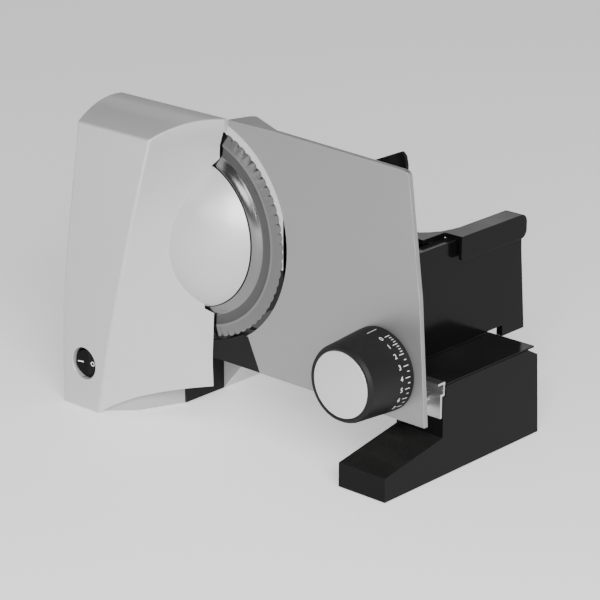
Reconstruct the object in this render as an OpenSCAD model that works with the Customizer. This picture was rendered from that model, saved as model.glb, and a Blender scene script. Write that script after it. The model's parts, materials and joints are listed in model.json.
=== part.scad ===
// Electric food slicer: a housing with a round blade, a stop plate set by a dial, and a carriage on a rail.
// X runs along the stop plate, Y from the operator's side to the food side, Z up.
// The drawing datum is the front face of the stop plate, 3.8 mm right of the blade axis;
// everything is shifted so that the middle of the footprint is the origin.

/* [Overall] */
// Reach of the housing to the left of the datum
reach_left = 93; // [80:1:110]
// Reach of the stop plate to the right of the datum
reach_right = 221; // [200:1:240]
// Reach of the switch face in front of the stop plate
reach_front = 60; // [52:1:70]
// Reach of the carriage wall behind the stop plate
reach_back = 173.6; // [160:0.2:190]
// Height of the housing roof at the blade
housing_h = 238; // [228:1:250]
// Gap between the mouldings and the table, held by the rubber feet
foot_gap = 1; // [0.5:0.5:3]

/* [Blade] */
// Blade diameter over the teeth
blade_d = 170; // [160:1:174]
// Height of the blade axis
blade_z = 146; // [143:0.5:149]
// Blade sheet thickness
blade_t = 1.6; // [1.2:0.1:2]
// Number of scallops ground in the edge
edge_teeth = 72; // [48:1:120]
// Depth of one scallop
edge_depth = 0.9; // [0.4:0.1:1.2]
// Radius of the blade shaft
blade_shaft_r = 6; // [5:0.5:7]

/* [Housing] */
// Wall of the plastic shells
wall = 2.5; // [2:0.1:3]
// Radius of the round cover in front of the blade
dome_r = 58.9; // [56:0.1:61]
// How far the round cover bulges out
dome_rise = 27.5; // [25:0.5:30]
// Radius of the arched roof
roof_r = 100; // [92:1:130]
// Radius of the switch recess
switch_r = 12.6; // [11.6:0.1:13.4]
// Height of the switch
switch_z = 38; // [34:1:42]

/* [Stop plate] */
// Thickness of the stop plate
plate_t = 4; // [3.4:0.1:4.4]
// Height of the stop plate's lower edge
plate_low = 46.3; // [44:0.1:48]
// Travel of the stop plate, which is the thickest slice
slice_max = 15; // [10:1:15]
// Depth of the top flange of the stop plate
flange_deep = 21; // [10:1:24]
// Extra radius of the plate's cut-out round the blade
cutout_gap = 5.4; // [5:0.1:7]

/* [Knob] */
// Largest radius of the dial
knob_r = 31.8; // [28:0.1:33]
// How far the dial stands in front of the plate
knob_len = 43.9; // [36:0.1:50]
// Radius of the metal disc in the dial
knob_disc_r = 25.2; // [20:0.1:26]
// Radius of the setting screw
spindle_r = 3; // [2.5:0.1:3.4]

/* [Base] */
// Height of the sliding surface on the base
deck_z = 72; // [70:0.5:72.5]
// Width of the right base block
block_w = 43.7; // [40:0.1:48]
// Height of the low toe of the base block
toe_h = 19.6; // [15:0.1:24]
// Depth of the deck behind the rail
deck_back = 131; // [120:1:134]
// Radius of the plate's guide rods
rod_r = 4; // [3:0.5:4.5]

/* [Carriage] */
// Travel of the carriage along the rail
carriage_travel = 150; // [100:1:150]
// Length of the carriage floor
floor_len = 140; // [130:1:146]
// Thickness of the carriage floor
floor_t = 2.5; // [2:0.1:3]
// Thickness of the carriage wall
side_t = 6; // [5:0.1:6.4]
// Top of the carriage wall
side_top = 156; // [140:1:158]
// Travel of the pusher towards the blade
pusher_travel = 55; // [30:1:55]
// Top of the pusher shield
shield_top = 220; // [190:1:226]
// Thickness of the pusher shield
shield_t = 3; // [2.5:0.1:4]

/* [Motor] */
// Radius of the motor's stator
stator_r = 25; // [22:0.5:25]
// Height of the stator's lamination pack
stator_h = 30; // [24:1:32]
// Radius of the motor shaft
motor_shaft_r = 3.5; // [3:0.25:4]
// Teeth of the worm wheel
wheel_teeth = 60; // [48:1:66]
// Tooth size of the worm drive
tooth_module = 1.36; // [1.2:0.02:1.5]
// Pitch radius of the worm
worm_r = 5.6; // [5.4:0.1:6]

/* [Hidden] */
$fn = 96;
over = 1;
run_gap = 0.03;
seat_gap = 0.3;
slide_gap = 0.5;
datum_x = (reach_left - reach_right) / 2;
datum_y = (reach_front - reach_back) / 2;
blade_r = blade_d / 2;
blade_margin = 4.2;
blade_x = blade_r + blade_margin - reach_left;

// Blade stack along Y
blade_front = 0.4;
edge_set = 0.2;
edge_y = plate_t - edge_set;
bevel_w = 10;
band_w = 8;
slope_w = 7.1;
ridge_w = 2.7;
ridge_y = -2.9;
band_out = blade_r - bevel_w;
band_in = band_out - band_w;
ridge_r = band_in - slope_w;
hub_r = ridge_r - ridge_w;
dish = 1.2;
tooth_shares = [1, 0.3, 0, 0.3];
lip_t = 0.3;
band_drop = 0.4;
hub_flange_r = 22;
hub_flange_t = 2.5;
hub_screw_pcd_r = 14;
hub_screw_r = 1.5;
tap_drop = 0.2;
lock_r = 24;
lock_rim = 2;
lock_t = 4;
head_room = 0.4;

// Housing loft, as shares of the height and of the reaches
left_foot_shares = [[0, 1], [0.195, 0.986], [0.361, 0.967], [0.513, 0.922], [0.966, 0.735], [1.01, 0.717]];
face_foot_in = 50.5;
face_foot_x = blade_x - face_foot_in;
face_top_x = 8.6;
face_shares = [[0, 0], [0.24, 0.2], [0.403, 0.35], [0.555, 0.506], [0.765, 0.725], [1.01, 1.01]];
back_foot_x = 12.6;
back_top_x = 26.4;
back_shares = [[0, 0], [0.185, -0.1], [0.353, 0.06], [0.874, 0.61], [0.916, 0.645], [0.977, 1],
    [1.01, 1]];
back_left_shares = [[0, 1], [0.65, 1], [0.84, 0.965], [1.01, 0.91]];
loft_shares = [0, 0.1, 0.195, 0.28, 0.361, 0.44, 0.513, 0.6, 0.68, 0.765, 0.874, 0.916, 0.966, 1.01];
edge_round = 2;
edge_steps = 3;
roof_peak = 19;
roof_low = housing_h - sqrt(roof_r * roof_r - roof_peak * roof_peak);
arch_shares = [[-0.05, -1], [0, 0], [0.165, 0.346], [0.342, 0.617], [0.551, 0.8], [0.772, 0.923],
    [1.02, 1]];
arch_rise = 22.1;
arch_depth = 14;
dome_back = -3.6;
dome_ball = (dome_r * dome_r + dome_rise * dome_rise) / (2 * dome_rise);
dome_mid = dome_back - dome_rise + dome_ball;
well_lip = 2.4;
well_r = dome_r - well_lip;
well_y = -5;
recess_y = -5.8;
recess_r = ridge_r + seat_gap;
recess_flare = 0.9;
switch_inset = 24.5;
switch_x = switch_inset - reach_left;
switch_tube = 2;
switch_deep = 8;

// Gear plate, worm wheel, worm and motor
gear_plate_t = 2;
gear_plate_y = -4.4;
wheel_r = wheel_teeth * tooth_module / 2;
wheel_tip = wheel_r + 0.86 * tooth_module;
wheel_root = wheel_r - 1.21 * tooth_module;
wheel_w = 6;
wheel_recess_r = 15;
wheel_recess = 3;
boss_r = 13;
bush_wall = 3;
front_boss_r = 11;
front_bush_len = 10;
shaft_nose = 3.1;
shaft_front = dome_back - dome_rise + wall + shaft_nose;
worm_x = blade_x - wheel_r - worm_r;
worm_pitch = PI * tooth_module;
worm_tip = worm_r + 0.86 * tooth_module;
worm_root = worm_r - 1.14 * tooth_module;
worm_gap = 0.4;
wheel_mid = gear_plate_y - worm_gap - worm_tip;
wheel_y = wheel_mid - wheel_w / 2;
worm_len = 28;
thread_steps = 20;
thread_sink = 0.3;
thread_root_w = 0.48 * worm_pitch;
thread_tip_w = 0.2 * worm_pitch;
tooth_root_share = 0.5;
tooth_tip_share = 0.22;
shaft_play = 0.2;
foot_boss_r = 9;
foot_boss_h = 5;
foot_bush_sink = 1;
motor_bush_wall = 2;
post_r = 1.6;
post_inset = 1.8;
post_ring_r = stator_r - post_inset;
fan_z = 9.3;
fan_t = 8;
fan_r = 19;
fan_disc_t = 1.5;
fan_blades = 11;
stator_z = 24;
stator_bore = 15;
core_gap = 0.8;
core_z = 22;
core_h = 30;
core_slots = 12;
coil_h = 5.5;
coil_w = 6;
comm_z = 60.5;
comm_h = 10;
comm_r = 8;
comm_bars = 16;
brush_gap = 0.3;
brush_len = 14;
brush_w = 7;
comm_room = 1.5;
gear_plate_low = comm_z + comm_h + comm_room;
arm_rise = 22;
arm_t = 8;
arm_low = blade_z - arm_rise - arm_t;
arm_high = blade_z + arm_rise;
worm_bush_r = motor_shaft_r + motor_bush_wall;
arm_wide = 18;
arm_front = 8.5;
arm_web_t = 1;
shaft_rise = 2;
shaft_top = arm_high + arm_t + shaft_rise;

// Base: rail seat shared by the case, the deck and the block
rail_front = 18.7;
rail_web_y = 21.2;
rail_gap = 0.4;
rail_web_t = 2.2;
rail_back = 26.3;
rail_t = 1.7;
rail_low = plate_low;
rail_step = 63;
groove_low = 65;
groove_high = deck_z + 0.2;
rail_top = groove_high + rail_t;
seat_y = rail_web_y + rail_web_t + rail_gap;
seat_back = rail_back + seat_gap;
side_x = 176;
side_in = side_x - side_t;
shoe_inset = 5;
shoe_len = 70;
shoe_right = side_in - shoe_inset;
shoe_left = shoe_right - shoe_len;
rail_spare = 35;
rail_left = shoe_left - carriage_travel - rail_spare;
deck_low = plate_low;
deck_wall = 3;
deck_left = rail_left;
block_inset = 2.1;
block_x = reach_right - block_inset - block_w;
rail_inset = 0.7;
rail_right = block_x + block_w - rail_inset;
block_front = 40;
ramp_top = 31;
block_back = 138;
block_sheet_t = 1.4;
block_step_shares = [[0.918, 0.981], [0.949, 0.939], [0.981, 0.897]];
case_inset = 1;
case_past_motor = 32.2;
case_left = case_inset - reach_left;
case_right = worm_x + case_past_motor;
case_wall = 2.4;
case_front = 0.4;
case_back = 43;
case_ledge = rail_front - seat_gap;
case_top = 64.8;
leg_inset = 5;
leg_left = leg_inset - reach_left;
leg_right = case_right;
leg_front = case_back;
leg_back = 128;
leg_lean = 0.842;
leg_wall = 3;
lean_wall = 1.3 * leg_wall;
tray_h = 14;
tray_gap = 0.9;
tray_face_gap = 2;
tray_arch_gap = 8.6;
tray_case_gap = 1.4;
tray_case_edge = 0.1;
tray_bend_share = 0.423;
tray_wall = 2;
shaft_foot = foot_gap + tray_wall + 2 * foot_bush_sink + shaft_play;
foot_r = 7;
foot_strap = 3;
foot_edge = 4;
tray_foot_shares = [-0.82, -0.77];
tray_feet = [[tray_foot_shares[0] * reach_left, tray_foot_shares[1] * reach_front]];
case_feet = [[case_right - foot_r - foot_edge, case_back - foot_r - foot_edge]];
leg_foot_y = leg_back - foot_r - foot_edge;
leg_feet = [[leg_left + foot_r + foot_edge, leg_foot_y], [leg_right - foot_r - foot_edge, leg_foot_y]];
block_mid = block_x + block_w / 2;
block_feet = [[block_mid, -block_front + foot_r + foot_edge], [block_mid, block_back - foot_r - foot_edge]];
rod_left_x = 85;
rod_share = 0.57;
rod_x = [rod_left_x, block_x + rod_share * block_w];
rod_z = 55;
rod_spare = 19;
rod_flange_r = 8;
rod_flange_t = 3;
rod_bush_wall = 2;
rod_bush_len = 17;
rod_boss_wall = 2.5;
rod_end = seat_y + rod_bush_len + slice_max + rod_spare;
guard_gap = 1.6;
guard_round = blade_r + guard_gap;
guard_t = 3.4;
guard_low = case_top + seat_gap;
guard_height_shares = [0.65, 0.84, 1];
corner_past_axis = 14.7;
corner_foot_x = blade_x + corner_past_axis;
corner_front = 0.4;
corner_t = 4;
corner_block_z = 60;
slant_gap = 0.5;

// Stop plate outline
plate_left = 30;
plate_flat = 77.6;
plate_top_right = 203.3;
plate_shoulder = 233.7;
plate_mid_right = 214.6;
plate_mid_z = 142;
plate_corner = 3;
plate_slant_top = [48.8, 72.7];
plate_slant_foot = 60.9;
cutout_shift = 1.8;
cutout_lift = 2.7;
cutout_x = blade_x + cutout_shift;
cutout_z = blade_z + cutout_lift;
cutout_r = blade_r + cutout_gap;
flange_t = 2;
flange_shares = [[0, 0], [0.1, 0.8], [0.14, 0.95], [0.2, 1], [0.26, 0.93], [1, 0]];

// Knob and setting screw
knob_x = 179.6;
knob_z = 81.5;
knob_gap = 0.5;
knob_skirt = 3;
knob_front_r = 29.2;
knob_chamfer = 3.2;
knob_rim = 2;
knob_disc_t = 1.6;
knob_wall = 2.6;
knob_hub_r = 8;
knob_deck = 4.5;
knob_bush_r = 5;
nut_r = 7;
nut_y = 16;
nut_len = 12;
spindle_short = 1;
spindle_end = nut_y + nut_len - spindle_short + slice_max;
thread_depth = 0.3;
thread_step = 2;
nut_foot_share = 0.85;

// Carriage and pusher
floor_gap = 0.6;
floor_low = rail_top + floor_gap;
floor_top = floor_low + floor_t;
floor_left = side_in - floor_len;
floor_front = 9;
floor_back = 166;
side_gap = 1.3;
side_low = deck_z + side_gap;
notch_y = 33;
notch_z = 92;
tab_front = 147;
tab_low = 64.4;
rim_w = 3.4;
rim_h = 3;
side_lean_shares = [[0.7, 0.9677], [0.88, 0.964], [1, 0.952]];
shoe_front = 12.5;
shoe_low = groove_low + slide_gap;
shoe_lip = groove_high - slide_gap;
shoe_back = rail_back - rail_t - slide_gap;
glide_x_shares = [0.22, 0.57, 0.91];
glide_y_shares = [0.33, 0.69];
glide_r = 6;
spike_len = 5;
spike_r = 1.6;
spike_cols = 5;
spike_rows = 4;
spike_gap = 1;
shield_y = floor_front + spike_gap + spike_len + pusher_travel;
shield_past = 10.2;
shield_short = 27;
shield_left = floor_left - shield_past;
shield_right = side_in - shield_short;
shield_low = floor_top + slide_gap;
shield_left_top = 156;
shield_bend = 32;
shield_bend_drop = 12.1;
shield_round = 5;
saddle_lead = 17;
saddle_len = 78;
saddle_front = shield_y + saddle_lead;
saddle_end = saddle_front + saddle_len;
saddle_round = 6.5;
flap_round = 3;
saddle_top = 160;
saddle_gap = 0.4;
saddle_t = saddle_top - side_top - saddle_gap;
saddle_grip = 3.8;
saddle_reach = 6.6;
saddle_in = side_in - saddle_grip;
saddle_out = side_x + saddle_reach;
flap_low = 141;
flap_t = 3;
web_t = saddle_t;
web_lead = 8;
web_heel = 18;
web_join = side_in - slide_gap;
shield_wide = side_in - rim_w - slide_gap;
shield_sill = saddle_top - web_t;
inside_t = 3;
inside_low = 150;
web_curve_shares = [[0, 0], [0.388, 0.05], [0.58, 0.185], [0.84, 0.467], [0.944, 0.742], [1, 1]];

// Switch rocker
rocker_r = 10.2;
rocker_half = 10;
rocker_tilt = 8;
rocker_inset = 8.5;
rocker_pivot_y = rocker_inset - reach_front;
rocker_tip = 6.6;
rocker_waist = 5.4;
rocker_back = 4;
switch_body_inset = 4;
switch_body_y = switch_body_inset - reach_front;
switch_body_len = 18;
rocker_pocket = 11.3;

// Gland and fasteners
gland_inset = 18;
gland_x = leg_left + gland_inset;
gland_z = 22;
gland_r = 7;
gland_hole_r = 3.6;
gland_out = 6;
gland_t = 2;
gland_wall = 1.4;
screw_r = 1.6;
screw_head_r = 3;
screw_head_t = 1.4;
guard_screw_shares = [[-0.86, 0.361], [-0.86, 0.857], [-0.624, 0.95]];
terminal_w = 26;
terminal_t = 12;
terminal_h = 16;

// Placing helpers
module at_datum() translate([datum_x, datum_y, 0]) children();
module on_y(x, z, y) translate([x, y, z]) rotate([-90, 0, 0]) children();
module rod_y(x, z, y, r, len) on_y(x, z, y) cylinder(r = r, h = len);
module on_blade(y) on_y(blade_x, blade_z, y) children();
module rod_blade(y, r, len) on_blade(y) cylinder(r = r, h = len);
module block(lo, hi) translate(lo) cube(hi - lo);
// An outline drawn in X and Z, as thick as t from the plane y
module upright(y, t) translate([0, y + t, 0]) rotate([90, 0, 0]) linear_extrude(t) children();
// An outline drawn in Y and Z, running along X from x0 to x1
module along_x(x0, x1) translate([x0, 0, 0]) rotate([90, 0, 90]) linear_extrude(x1 - x0) children();

// Curve readers: shares of a height turned into places
function tall(z, shares) = lookup(z / housing_h, shares);
function front_left(z) = -reach_left * tall(z, left_foot_shares);
function front_right(z) = face_foot_x + (face_top_x - face_foot_x) * tall(z, face_shares);
function back_right(z) = back_foot_x + (back_top_x - back_foot_x) * tall(z, back_shares);
function back_left(z) = -reach_left * tall(z, back_left_shares);

// Inset of a four-sided outline: each side moves in by its own share of d
function unit(v) = v / norm(v);
function side_in_by(p, q, d) = let (u = unit(q - p)) [p + d * [-u[1], u[0]], u];
function meet(a, b) = let (d = a[1][0] * b[1][1] - a[1][1] * b[1][0], v = b[0] - a[0])
    a[0] + a[1] * (v[0] * b[1][1] - v[1] * b[1][0]) / d;
function inset(q, d) = let (s = [for (i = [0:3]) side_in_by(q[i], q[(i + 1) % 4], d[i])])
    [for (i = [0:3]) meet(s[(i + 3) % 4], s[i])];
function rounded(q, r) = [for (i = [0:3]) let (a = unit(q[(i + 3) % 4] - q[i]), b = unit(q[(i + 1) % 4] - q[i]))
    for (k = [0:edge_steps]) let (t = k / edge_steps, p = q[i] + a * r, s = q[i] + b * r)
        p * (1 - t) * (1 - t) + q[i] * 2 * t * (1 - t) + s * t * t];
function housing_quad(z) = [[front_left(z), -reach_front], [front_right(z), -reach_front],
    [back_right(z), 0], [back_left(z), 0]];
function housing_ring(z, d, back) = rounded(inset(housing_quad(z), [d, d, back, d]),
    edge_round * (d > 0 ? 0.5 : 1));

// Solid between rings of equal point counts at rising heights
module ring_loft(rings, heights) {
    n = len(rings[0]);
    m = len(rings);
    points = [for (j = [0:m - 1]) for (p = rings[j]) [p[0], p[1], heights[j]]];
    sides = [for (j = [0:m - 2]) for (i = [0:n - 1]) let (a = j * n + i, b = j * n + (i + 1) % n)
        each [[a, a + n, b + n], [a, b + n, b]]];
    low = [[for (i = [0:n - 1]) i]];
    high = [[for (i = [n - 1:-1:0]) (m - 1) * n + i]];
    polyhedron(points, concat(low, sides, high));
}

module housing_loft(d, back, drop) {
    heights = [for (s = loft_shares) s == 0 ? drop : s * housing_h];
    rings = [for (s = loft_shares) housing_ring(s * housing_h, d, back)];
    ring_loft(rings, heights);
}

module roof(d) {
    translate([-2 * reach_left, -roof_peak, roof_low]) rotate([0, 90, 0])
        cylinder(r = roof_r - d, h = 4 * reach_left, $fn = 180);
    block([-2 * reach_left, -reach_front - over, -2 * over], [2 * reach_left, plate_t + over, roof_low]);
}

module dome_cap(d) intersection() {
    on_blade(dome_mid) sphere(r = dome_ball - d, $fn = 180);
    rod_blade(dome_back - dome_rise - over, dome_r + over, dome_rise + over);
}

// Room behind the round cover for the blade's raised ring
module ring_room(y) on_blade(y) cylinder(r1 = recess_r + recess_flare * (y - recess_y),
    r2 = recess_r + recess_flare * (over - recess_y), h = over - y, $fn = 180);

// The arch under the slanted face, drawn along the face's foot line
module arch_cut() {
    foot = [face_foot_x, -reach_front];
    run = [back_foot_x, 0] - foot;
    turn = atan2(run[1], run[0]);
    line = [for (s = arch_shares) [s[0] * norm(run), foot_gap + s[1] * arch_rise]];
    translate([foot[0], foot[1], 0]) rotate([90, 0, turn])
        translate([0, 0, -arch_depth]) linear_extrude(2 * arch_depth)
            polygon(concat(line, [[line[len(line) - 1][0], -2 * arch_rise], [line[0][0], -2 * arch_rise]]));
}

module housing_solid() {
    difference() {
        intersection() {
            housing_loft(0, 0, foot_gap);
            roof(0);
        }
        ring_room(recess_y);
    }
    dome_cap(0);
}

module housing_shell() color("silver") at_datum() {
    difference() {
        housing_solid();
        intersection() {
            housing_loft(wall, -over, -over);
            roof(wall);
        }
        dome_cap(wall);
        rod_blade(well_y, well_r, -well_y + over);
        rod_y(switch_x, switch_z, -reach_front - over, switch_r, wall + 2 * over);
        arch_cut();
    }
    difference() {
        rod_y(switch_x, switch_z, -reach_front + wall / 2, switch_r + switch_tube, switch_deep);
        rod_y(switch_x, switch_z, -reach_front - over, switch_r, switch_deep + 2 * wall);
    }
    difference() {
        intersection() {
            housing_solid();
            rod_blade(dome_back - dome_rise, front_boss_r,
                shaft_front + front_bush_len - 2 * over - dome_back + dome_rise);
        }
        rod_blade(shaft_front - over, blade_shaft_r + bush_wall + run_gap, front_bush_len + 2 * over);
    }
}

module gear_plate() color("dimgray") at_datum() difference() {
    union() {
        intersection() {
            housing_loft(wall + seat_gap, -over, foot_gap);
            block([-reach_left, gear_plate_y, gear_plate_low],
                [reach_left, gear_plate_y + gear_plate_t, housing_h]);
            roof(wall + seat_gap);
        }
        rod_blade(gear_plate_y, well_r - seat_gap, gear_plate_t);
        rod_blade(wheel_y + wheel_w - wheel_recess + seat_gap, boss_r,
            gear_plate_y + gear_plate_t - wheel_y - wheel_w + wheel_recess - seat_gap);
    }
    rod_blade(wheel_y, blade_shaft_r + bush_wall, wheel_w - wheel_y);
    difference() {
        ring_room(dome_back);
        rod_blade(dome_back - over, hub_r, 3 * over - dome_back);
    }
}

module blade_guard() color("silver") at_datum() difference() {
    intersection() {
        upright(corner_front, guard_t) polygon(concat(
            [for (z = concat([guard_low], guard_height_shares * housing_h)) [back_left(z), z]],
            [[back_right(housing_h), housing_h], [back_right(guard_low), guard_low]]));
        roof(0);
    }
    blade_room();
    block([blade_x, -over, 0], [reach_right, plate_t + over, blade_z]);
    for (s = guard_screw_shares) on_guard(s, -over) cylinder(r = screw_r + seat_gap, h = guard_t + 3 * over);
}

module on_guard(s, y) on_y(s[0] * reach_left, s[1] * housing_h, y) children();
module guard_screws() color("gray") at_datum() for (s = guard_screw_shares) {
    on_guard(s, corner_front) cylinder(r = screw_r, h = guard_t);
    on_guard(s, corner_front + guard_t) cylinder(r = screw_head_r, h = screw_head_t);
}

// Side outline of the rail seat, shared by what stands behind the rail
function seat_outline() = [[seat_y, rail_step - seat_gap], [seat_back, rail_step - seat_gap]];

module case_outline(d) polygon([[case_front - (d > 0 ? over : 0), foot_gap + d], [case_back - d, foot_gap + d],
    [case_back - d, deck_low - d], [case_ledge - d, deck_low - d], [case_ledge - d, case_top - d],
    [case_front - (d > 0 ? over : 0), case_top - d]]);

module blade_room() rod_blade(-over, guard_round, plate_t + 2 * over);

module rear_case() color("dimgray") at_datum() difference() {
    along_x(case_left, case_right) case_outline(0);
    along_x(case_left + case_wall, case_right - case_wall) case_outline(case_wall);
    blade_room();
}

module case_floor() color("lightgray") at_datum() {
    left = wall + tray_gap - reach_left;
    front = wall + tray_gap - reach_front;
    bend = [face_foot_x + (back_foot_x - face_foot_x) * tray_bend_share - tray_arch_gap,
        (tray_bend_share - 1) * reach_front];
    outline = [[left, front], [face_foot_x - tray_face_gap, front], bend,
        [case_right - tray_case_gap, case_front - tray_case_edge], [left, case_front - tray_case_edge]];
    difference() {
        translate([0, 0, foot_gap]) linear_extrude(tray_h) polygon(outline);
        translate([0, 0, foot_gap + tray_wall]) linear_extrude(tray_h) intersection() {
            offset(delta = -tray_wall)
                polygon([for (i = [0:4]) outline[i] + (i > 2 ? [0, 4 * tray_wall] : [0, 0])]);
            translate([-2 * reach_left, -2 * reach_front])
                square([4 * reach_left, 2 * reach_front + case_front]);
        }
    }
    difference() {
        on_motor(foot_gap + tray_wall) cylinder(r = foot_boss_r, h = foot_boss_h);
        on_motor(foot_gap + tray_wall + foot_bush_sink) cylinder(r = worm_bush_r, h = foot_boss_h);
    }
    for (a = [-180:60:0]) on_motor(foot_gap + tray_wall / 2) rotate([0, 0, a])
        translate([post_ring_r, 0, 0]) cylinder(r = post_r, h = stator_z - foot_gap - tray_wall / 2);
}

module rear_leg() color("silver") at_datum() {
    foot_straps([leg_feet[0]], leg_left + over, leg_right - over);
    leg_body();
}

module leg_body() difference() {
    upright(leg_front, leg_back - leg_front) polygon([[leg_left, foot_gap], [leg_right, foot_gap],
        [leg_right + leg_lean * (deck_low - foot_gap), deck_low], [leg_left, deck_low]]);
    upright(leg_front + leg_wall, leg_back - leg_front - 2 * leg_wall) polygon([
        [leg_left + leg_wall, -over], [leg_right - lean_wall, -over], [leg_right - lean_wall, foot_gap],
        [leg_right - lean_wall + leg_lean * (deck_low - foot_gap - leg_wall), deck_low - leg_wall],
        [leg_left + leg_wall, deck_low - leg_wall]]);
    rod_y(gland_x, gland_z, leg_back - leg_wall - over, gland_r - gland_t, leg_wall + 2 * over);
}

module deck_outline(d) polygon(concat([[seat_y + d, deck_low - (d > 0 ? over : 0)]],
    [for (p = seat_outline()) p + [d, d]],
    [[seat_back + d, deck_z - d], [deck_back - d, deck_z - d],
        [deck_back - d, deck_low - (d > 0 ? over : 0)]]));

module rod_boss(x) rod_y(x, rod_z, seat_y, rod_r + rod_bush_wall + rod_boss_wall, rod_bush_len);
module rod_bore(x) rod_y(x, rod_z, seat_y - over, rod_r + rod_bush_wall, rod_bush_len + 2 * over);

module bridge_deck() color("dimgray") at_datum() difference() {
    union() {
        difference() {
            along_x(deck_left, block_x) deck_outline(0);
            along_x(deck_left + deck_wall, block_x - deck_wall) deck_outline(deck_wall);
        }
        intersection() {
            rod_boss(rod_x[0]);
            along_x(deck_left, block_x) deck_outline(0);
        }
    }
    rod_bore(rod_x[0]);
}

module block_outline(d) {
    span = block_back + block_front;
    polygon(concat([[-block_front + d, foot_gap - (d > 0 ? 2 * over : 0)], [-block_front + d, toe_h - d],
        [seat_y + d, ramp_top - d]], [for (p = seat_outline()) p + [d, d > 0 && p[0] > seat_y ? d : 0]],
        [[seat_back + d, deck_z - block_sheet_t - d]],
        [for (s = block_step_shares) [-block_front + s[0] * span - d, s[1] * deck_z - d]],
        [[block_back - d, foot_gap - (d > 0 ? 2 * over : 0)]]));
}

module base_block() color("dimgray") at_datum() difference() {
    union() {
        difference() {
            along_x(block_x, block_x + block_w) block_outline(0);
            along_x(block_x + deck_wall, block_x + block_w - deck_wall) block_outline(deck_wall);
        }
        block([block_x, seat_back, deck_z - block_sheet_t], [rail_right, deck_back, deck_z]);
        foot_straps(block_feet, block_x + over, block_x + block_w - over);
        rod_boss(rod_x[1]);
    }
    rod_bore(rod_x[1]);
}

module guide_rail() color("lightgray") at_datum() difference() {
    along_x(rail_left, rail_right) polygon([
        [rail_web_y, rail_low], [rail_web_y + rail_web_t, rail_low], [rail_web_y + rail_web_t, rail_step],
        [rail_back, rail_step], [rail_back, rail_top], [rail_front, rail_top], [rail_front, groove_high],
        [rail_back - rail_t, groove_high], [rail_back - rail_t, groove_low], [rail_web_y, groove_low]]);
    for (x = rod_x) rod_y(x, rod_z, rail_web_y - over, rod_r + slide_gap, rail_web_t + 2 * over);
}

module corner_guard() color("dimgray") at_datum() {
    difference() {
        upright(corner_front, corner_t) polygon([
            [corner_foot_x, plate_low], [plate_slant_foot - slant_gap, plate_low],
            plate_slant_top - [slant_gap, slant_gap], [corner_foot_x, plate_slant_top[1] - slant_gap]]);
        blade_room();
    }
    block([corner_foot_x + corner_t, corner_front + corner_t, plate_low],
        [plate_slant_foot - slant_gap, rail_web_y, corner_block_z]);
}

// The motor and worm stand on one upright axis beside the worm wheel
module on_motor(z) translate([worm_x, wheel_mid, z]) children();

module motor_stator() color("gray") at_datum() on_motor(stator_z) difference() {
    cylinder(r = stator_r, h = stator_h);
    translate([0, 0, -over]) cylinder(r = stator_bore, h = stator_h + 2 * over);
}

module stator_coils() color("peru") at_datum() for (z = [stator_z - coil_h, stator_z + stator_h])
    on_motor(z) difference() {
        cylinder(r = stator_bore + coil_w, h = coil_h);
        translate([0, 0, -over]) cylinder(r = stator_bore + core_gap, h = coil_h + 2 * over);
    }

module brush_holders() color("goldenrod") at_datum() on_motor(comm_z + comm_h / 2) for (s = [-1, 1])
    translate([s * (comm_r + brush_gap + brush_len / 2), 0, 0])
        cube([brush_len, brush_w, brush_w], center = true);

module gear_bracket() color("darkgray") at_datum() difference() {
    union() {
        for (z = [arm_low, arm_high]) block([worm_x - arm_wide / 2, wheel_mid - arm_front, z],
            [worm_x + arm_wide / 2, gear_plate_y, z + arm_t]);
        block([worm_x - arm_wide / 2, gear_plate_y - arm_web_t, arm_low],
            [worm_x - arm_wide / 4, gear_plate_y, arm_high]);
    }
    on_motor(arm_low - over) cylinder(r = worm_bush_r, h = arm_high - arm_low + arm_t + 2 * over);
}

module worm_bushes() color("goldenrod") at_datum() for (z = [arm_low, arm_high])
    on_motor(z) difference() {
    cylinder(r = worm_bush_r, h = arm_t);
    translate([0, 0, -over]) cylinder(r = motor_shaft_r + run_gap, h = arm_t + 2 * over);
}

module motor_foot_bush() color("goldenrod") at_datum()
    on_motor(foot_gap + tray_wall + foot_bush_sink) difference() {
    cylinder(r = worm_bush_r, h = foot_boss_h - foot_bush_sink);
    translate([0, 0, foot_bush_sink]) cylinder(r = motor_shaft_r + run_gap, h = foot_boss_h);
}

module blade_bush(y, len) difference() {
    rod_blade(y, blade_shaft_r + bush_wall, len);
    rod_blade(y - over, blade_shaft_r + run_gap, len + 2 * over);
}
module blade_bush_front() color("goldenrod") at_datum() blade_bush(shaft_front, front_bush_len);
module blade_bush_rear() color("goldenrod") at_datum()
    blade_bush(wheel_y + wheel_w - wheel_recess + seat_gap,
        gear_plate_y + gear_plate_t - wheel_y - wheel_w + wheel_recess - seat_gap);

module switch_body() color("dimgray") at_datum() difference() {
    rod_y(switch_x, switch_z, switch_body_y, switch_r - run_gap, switch_body_len);
    rod_y(switch_x, switch_z, switch_body_y - over, rocker_pocket, switch_body_len - deck_wall);
}

module switch_rocker() color("dimgray") at_datum() translate([switch_x, rocker_pivot_y, switch_z])
    rotate([0, 0, rocker_tilt]) intersection() {
        translate([0, 0, -rocker_r]) linear_extrude(2 * rocker_r) polygon([[-rocker_half, -rocker_tip],
            [0, -rocker_waist], [rocker_half, -rocker_tip], [rocker_half * 0.8, 0], [0, rocker_back],
            [-rocker_half * 0.8, 0]]);
        on_y(0, 0, -2 * rocker_tip) cylinder(r = rocker_r, h = 4 * rocker_tip);
    }

module terminal_block() color("ivory") at_datum()
    block([leg_left + 2 * leg_wall, leg_back - leg_wall - 3 * terminal_t, deck_low - leg_wall - terminal_h],
        [leg_left + 2 * leg_wall + terminal_w, leg_back - leg_wall - 2 * terminal_t, deck_low - leg_wall]);

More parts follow.
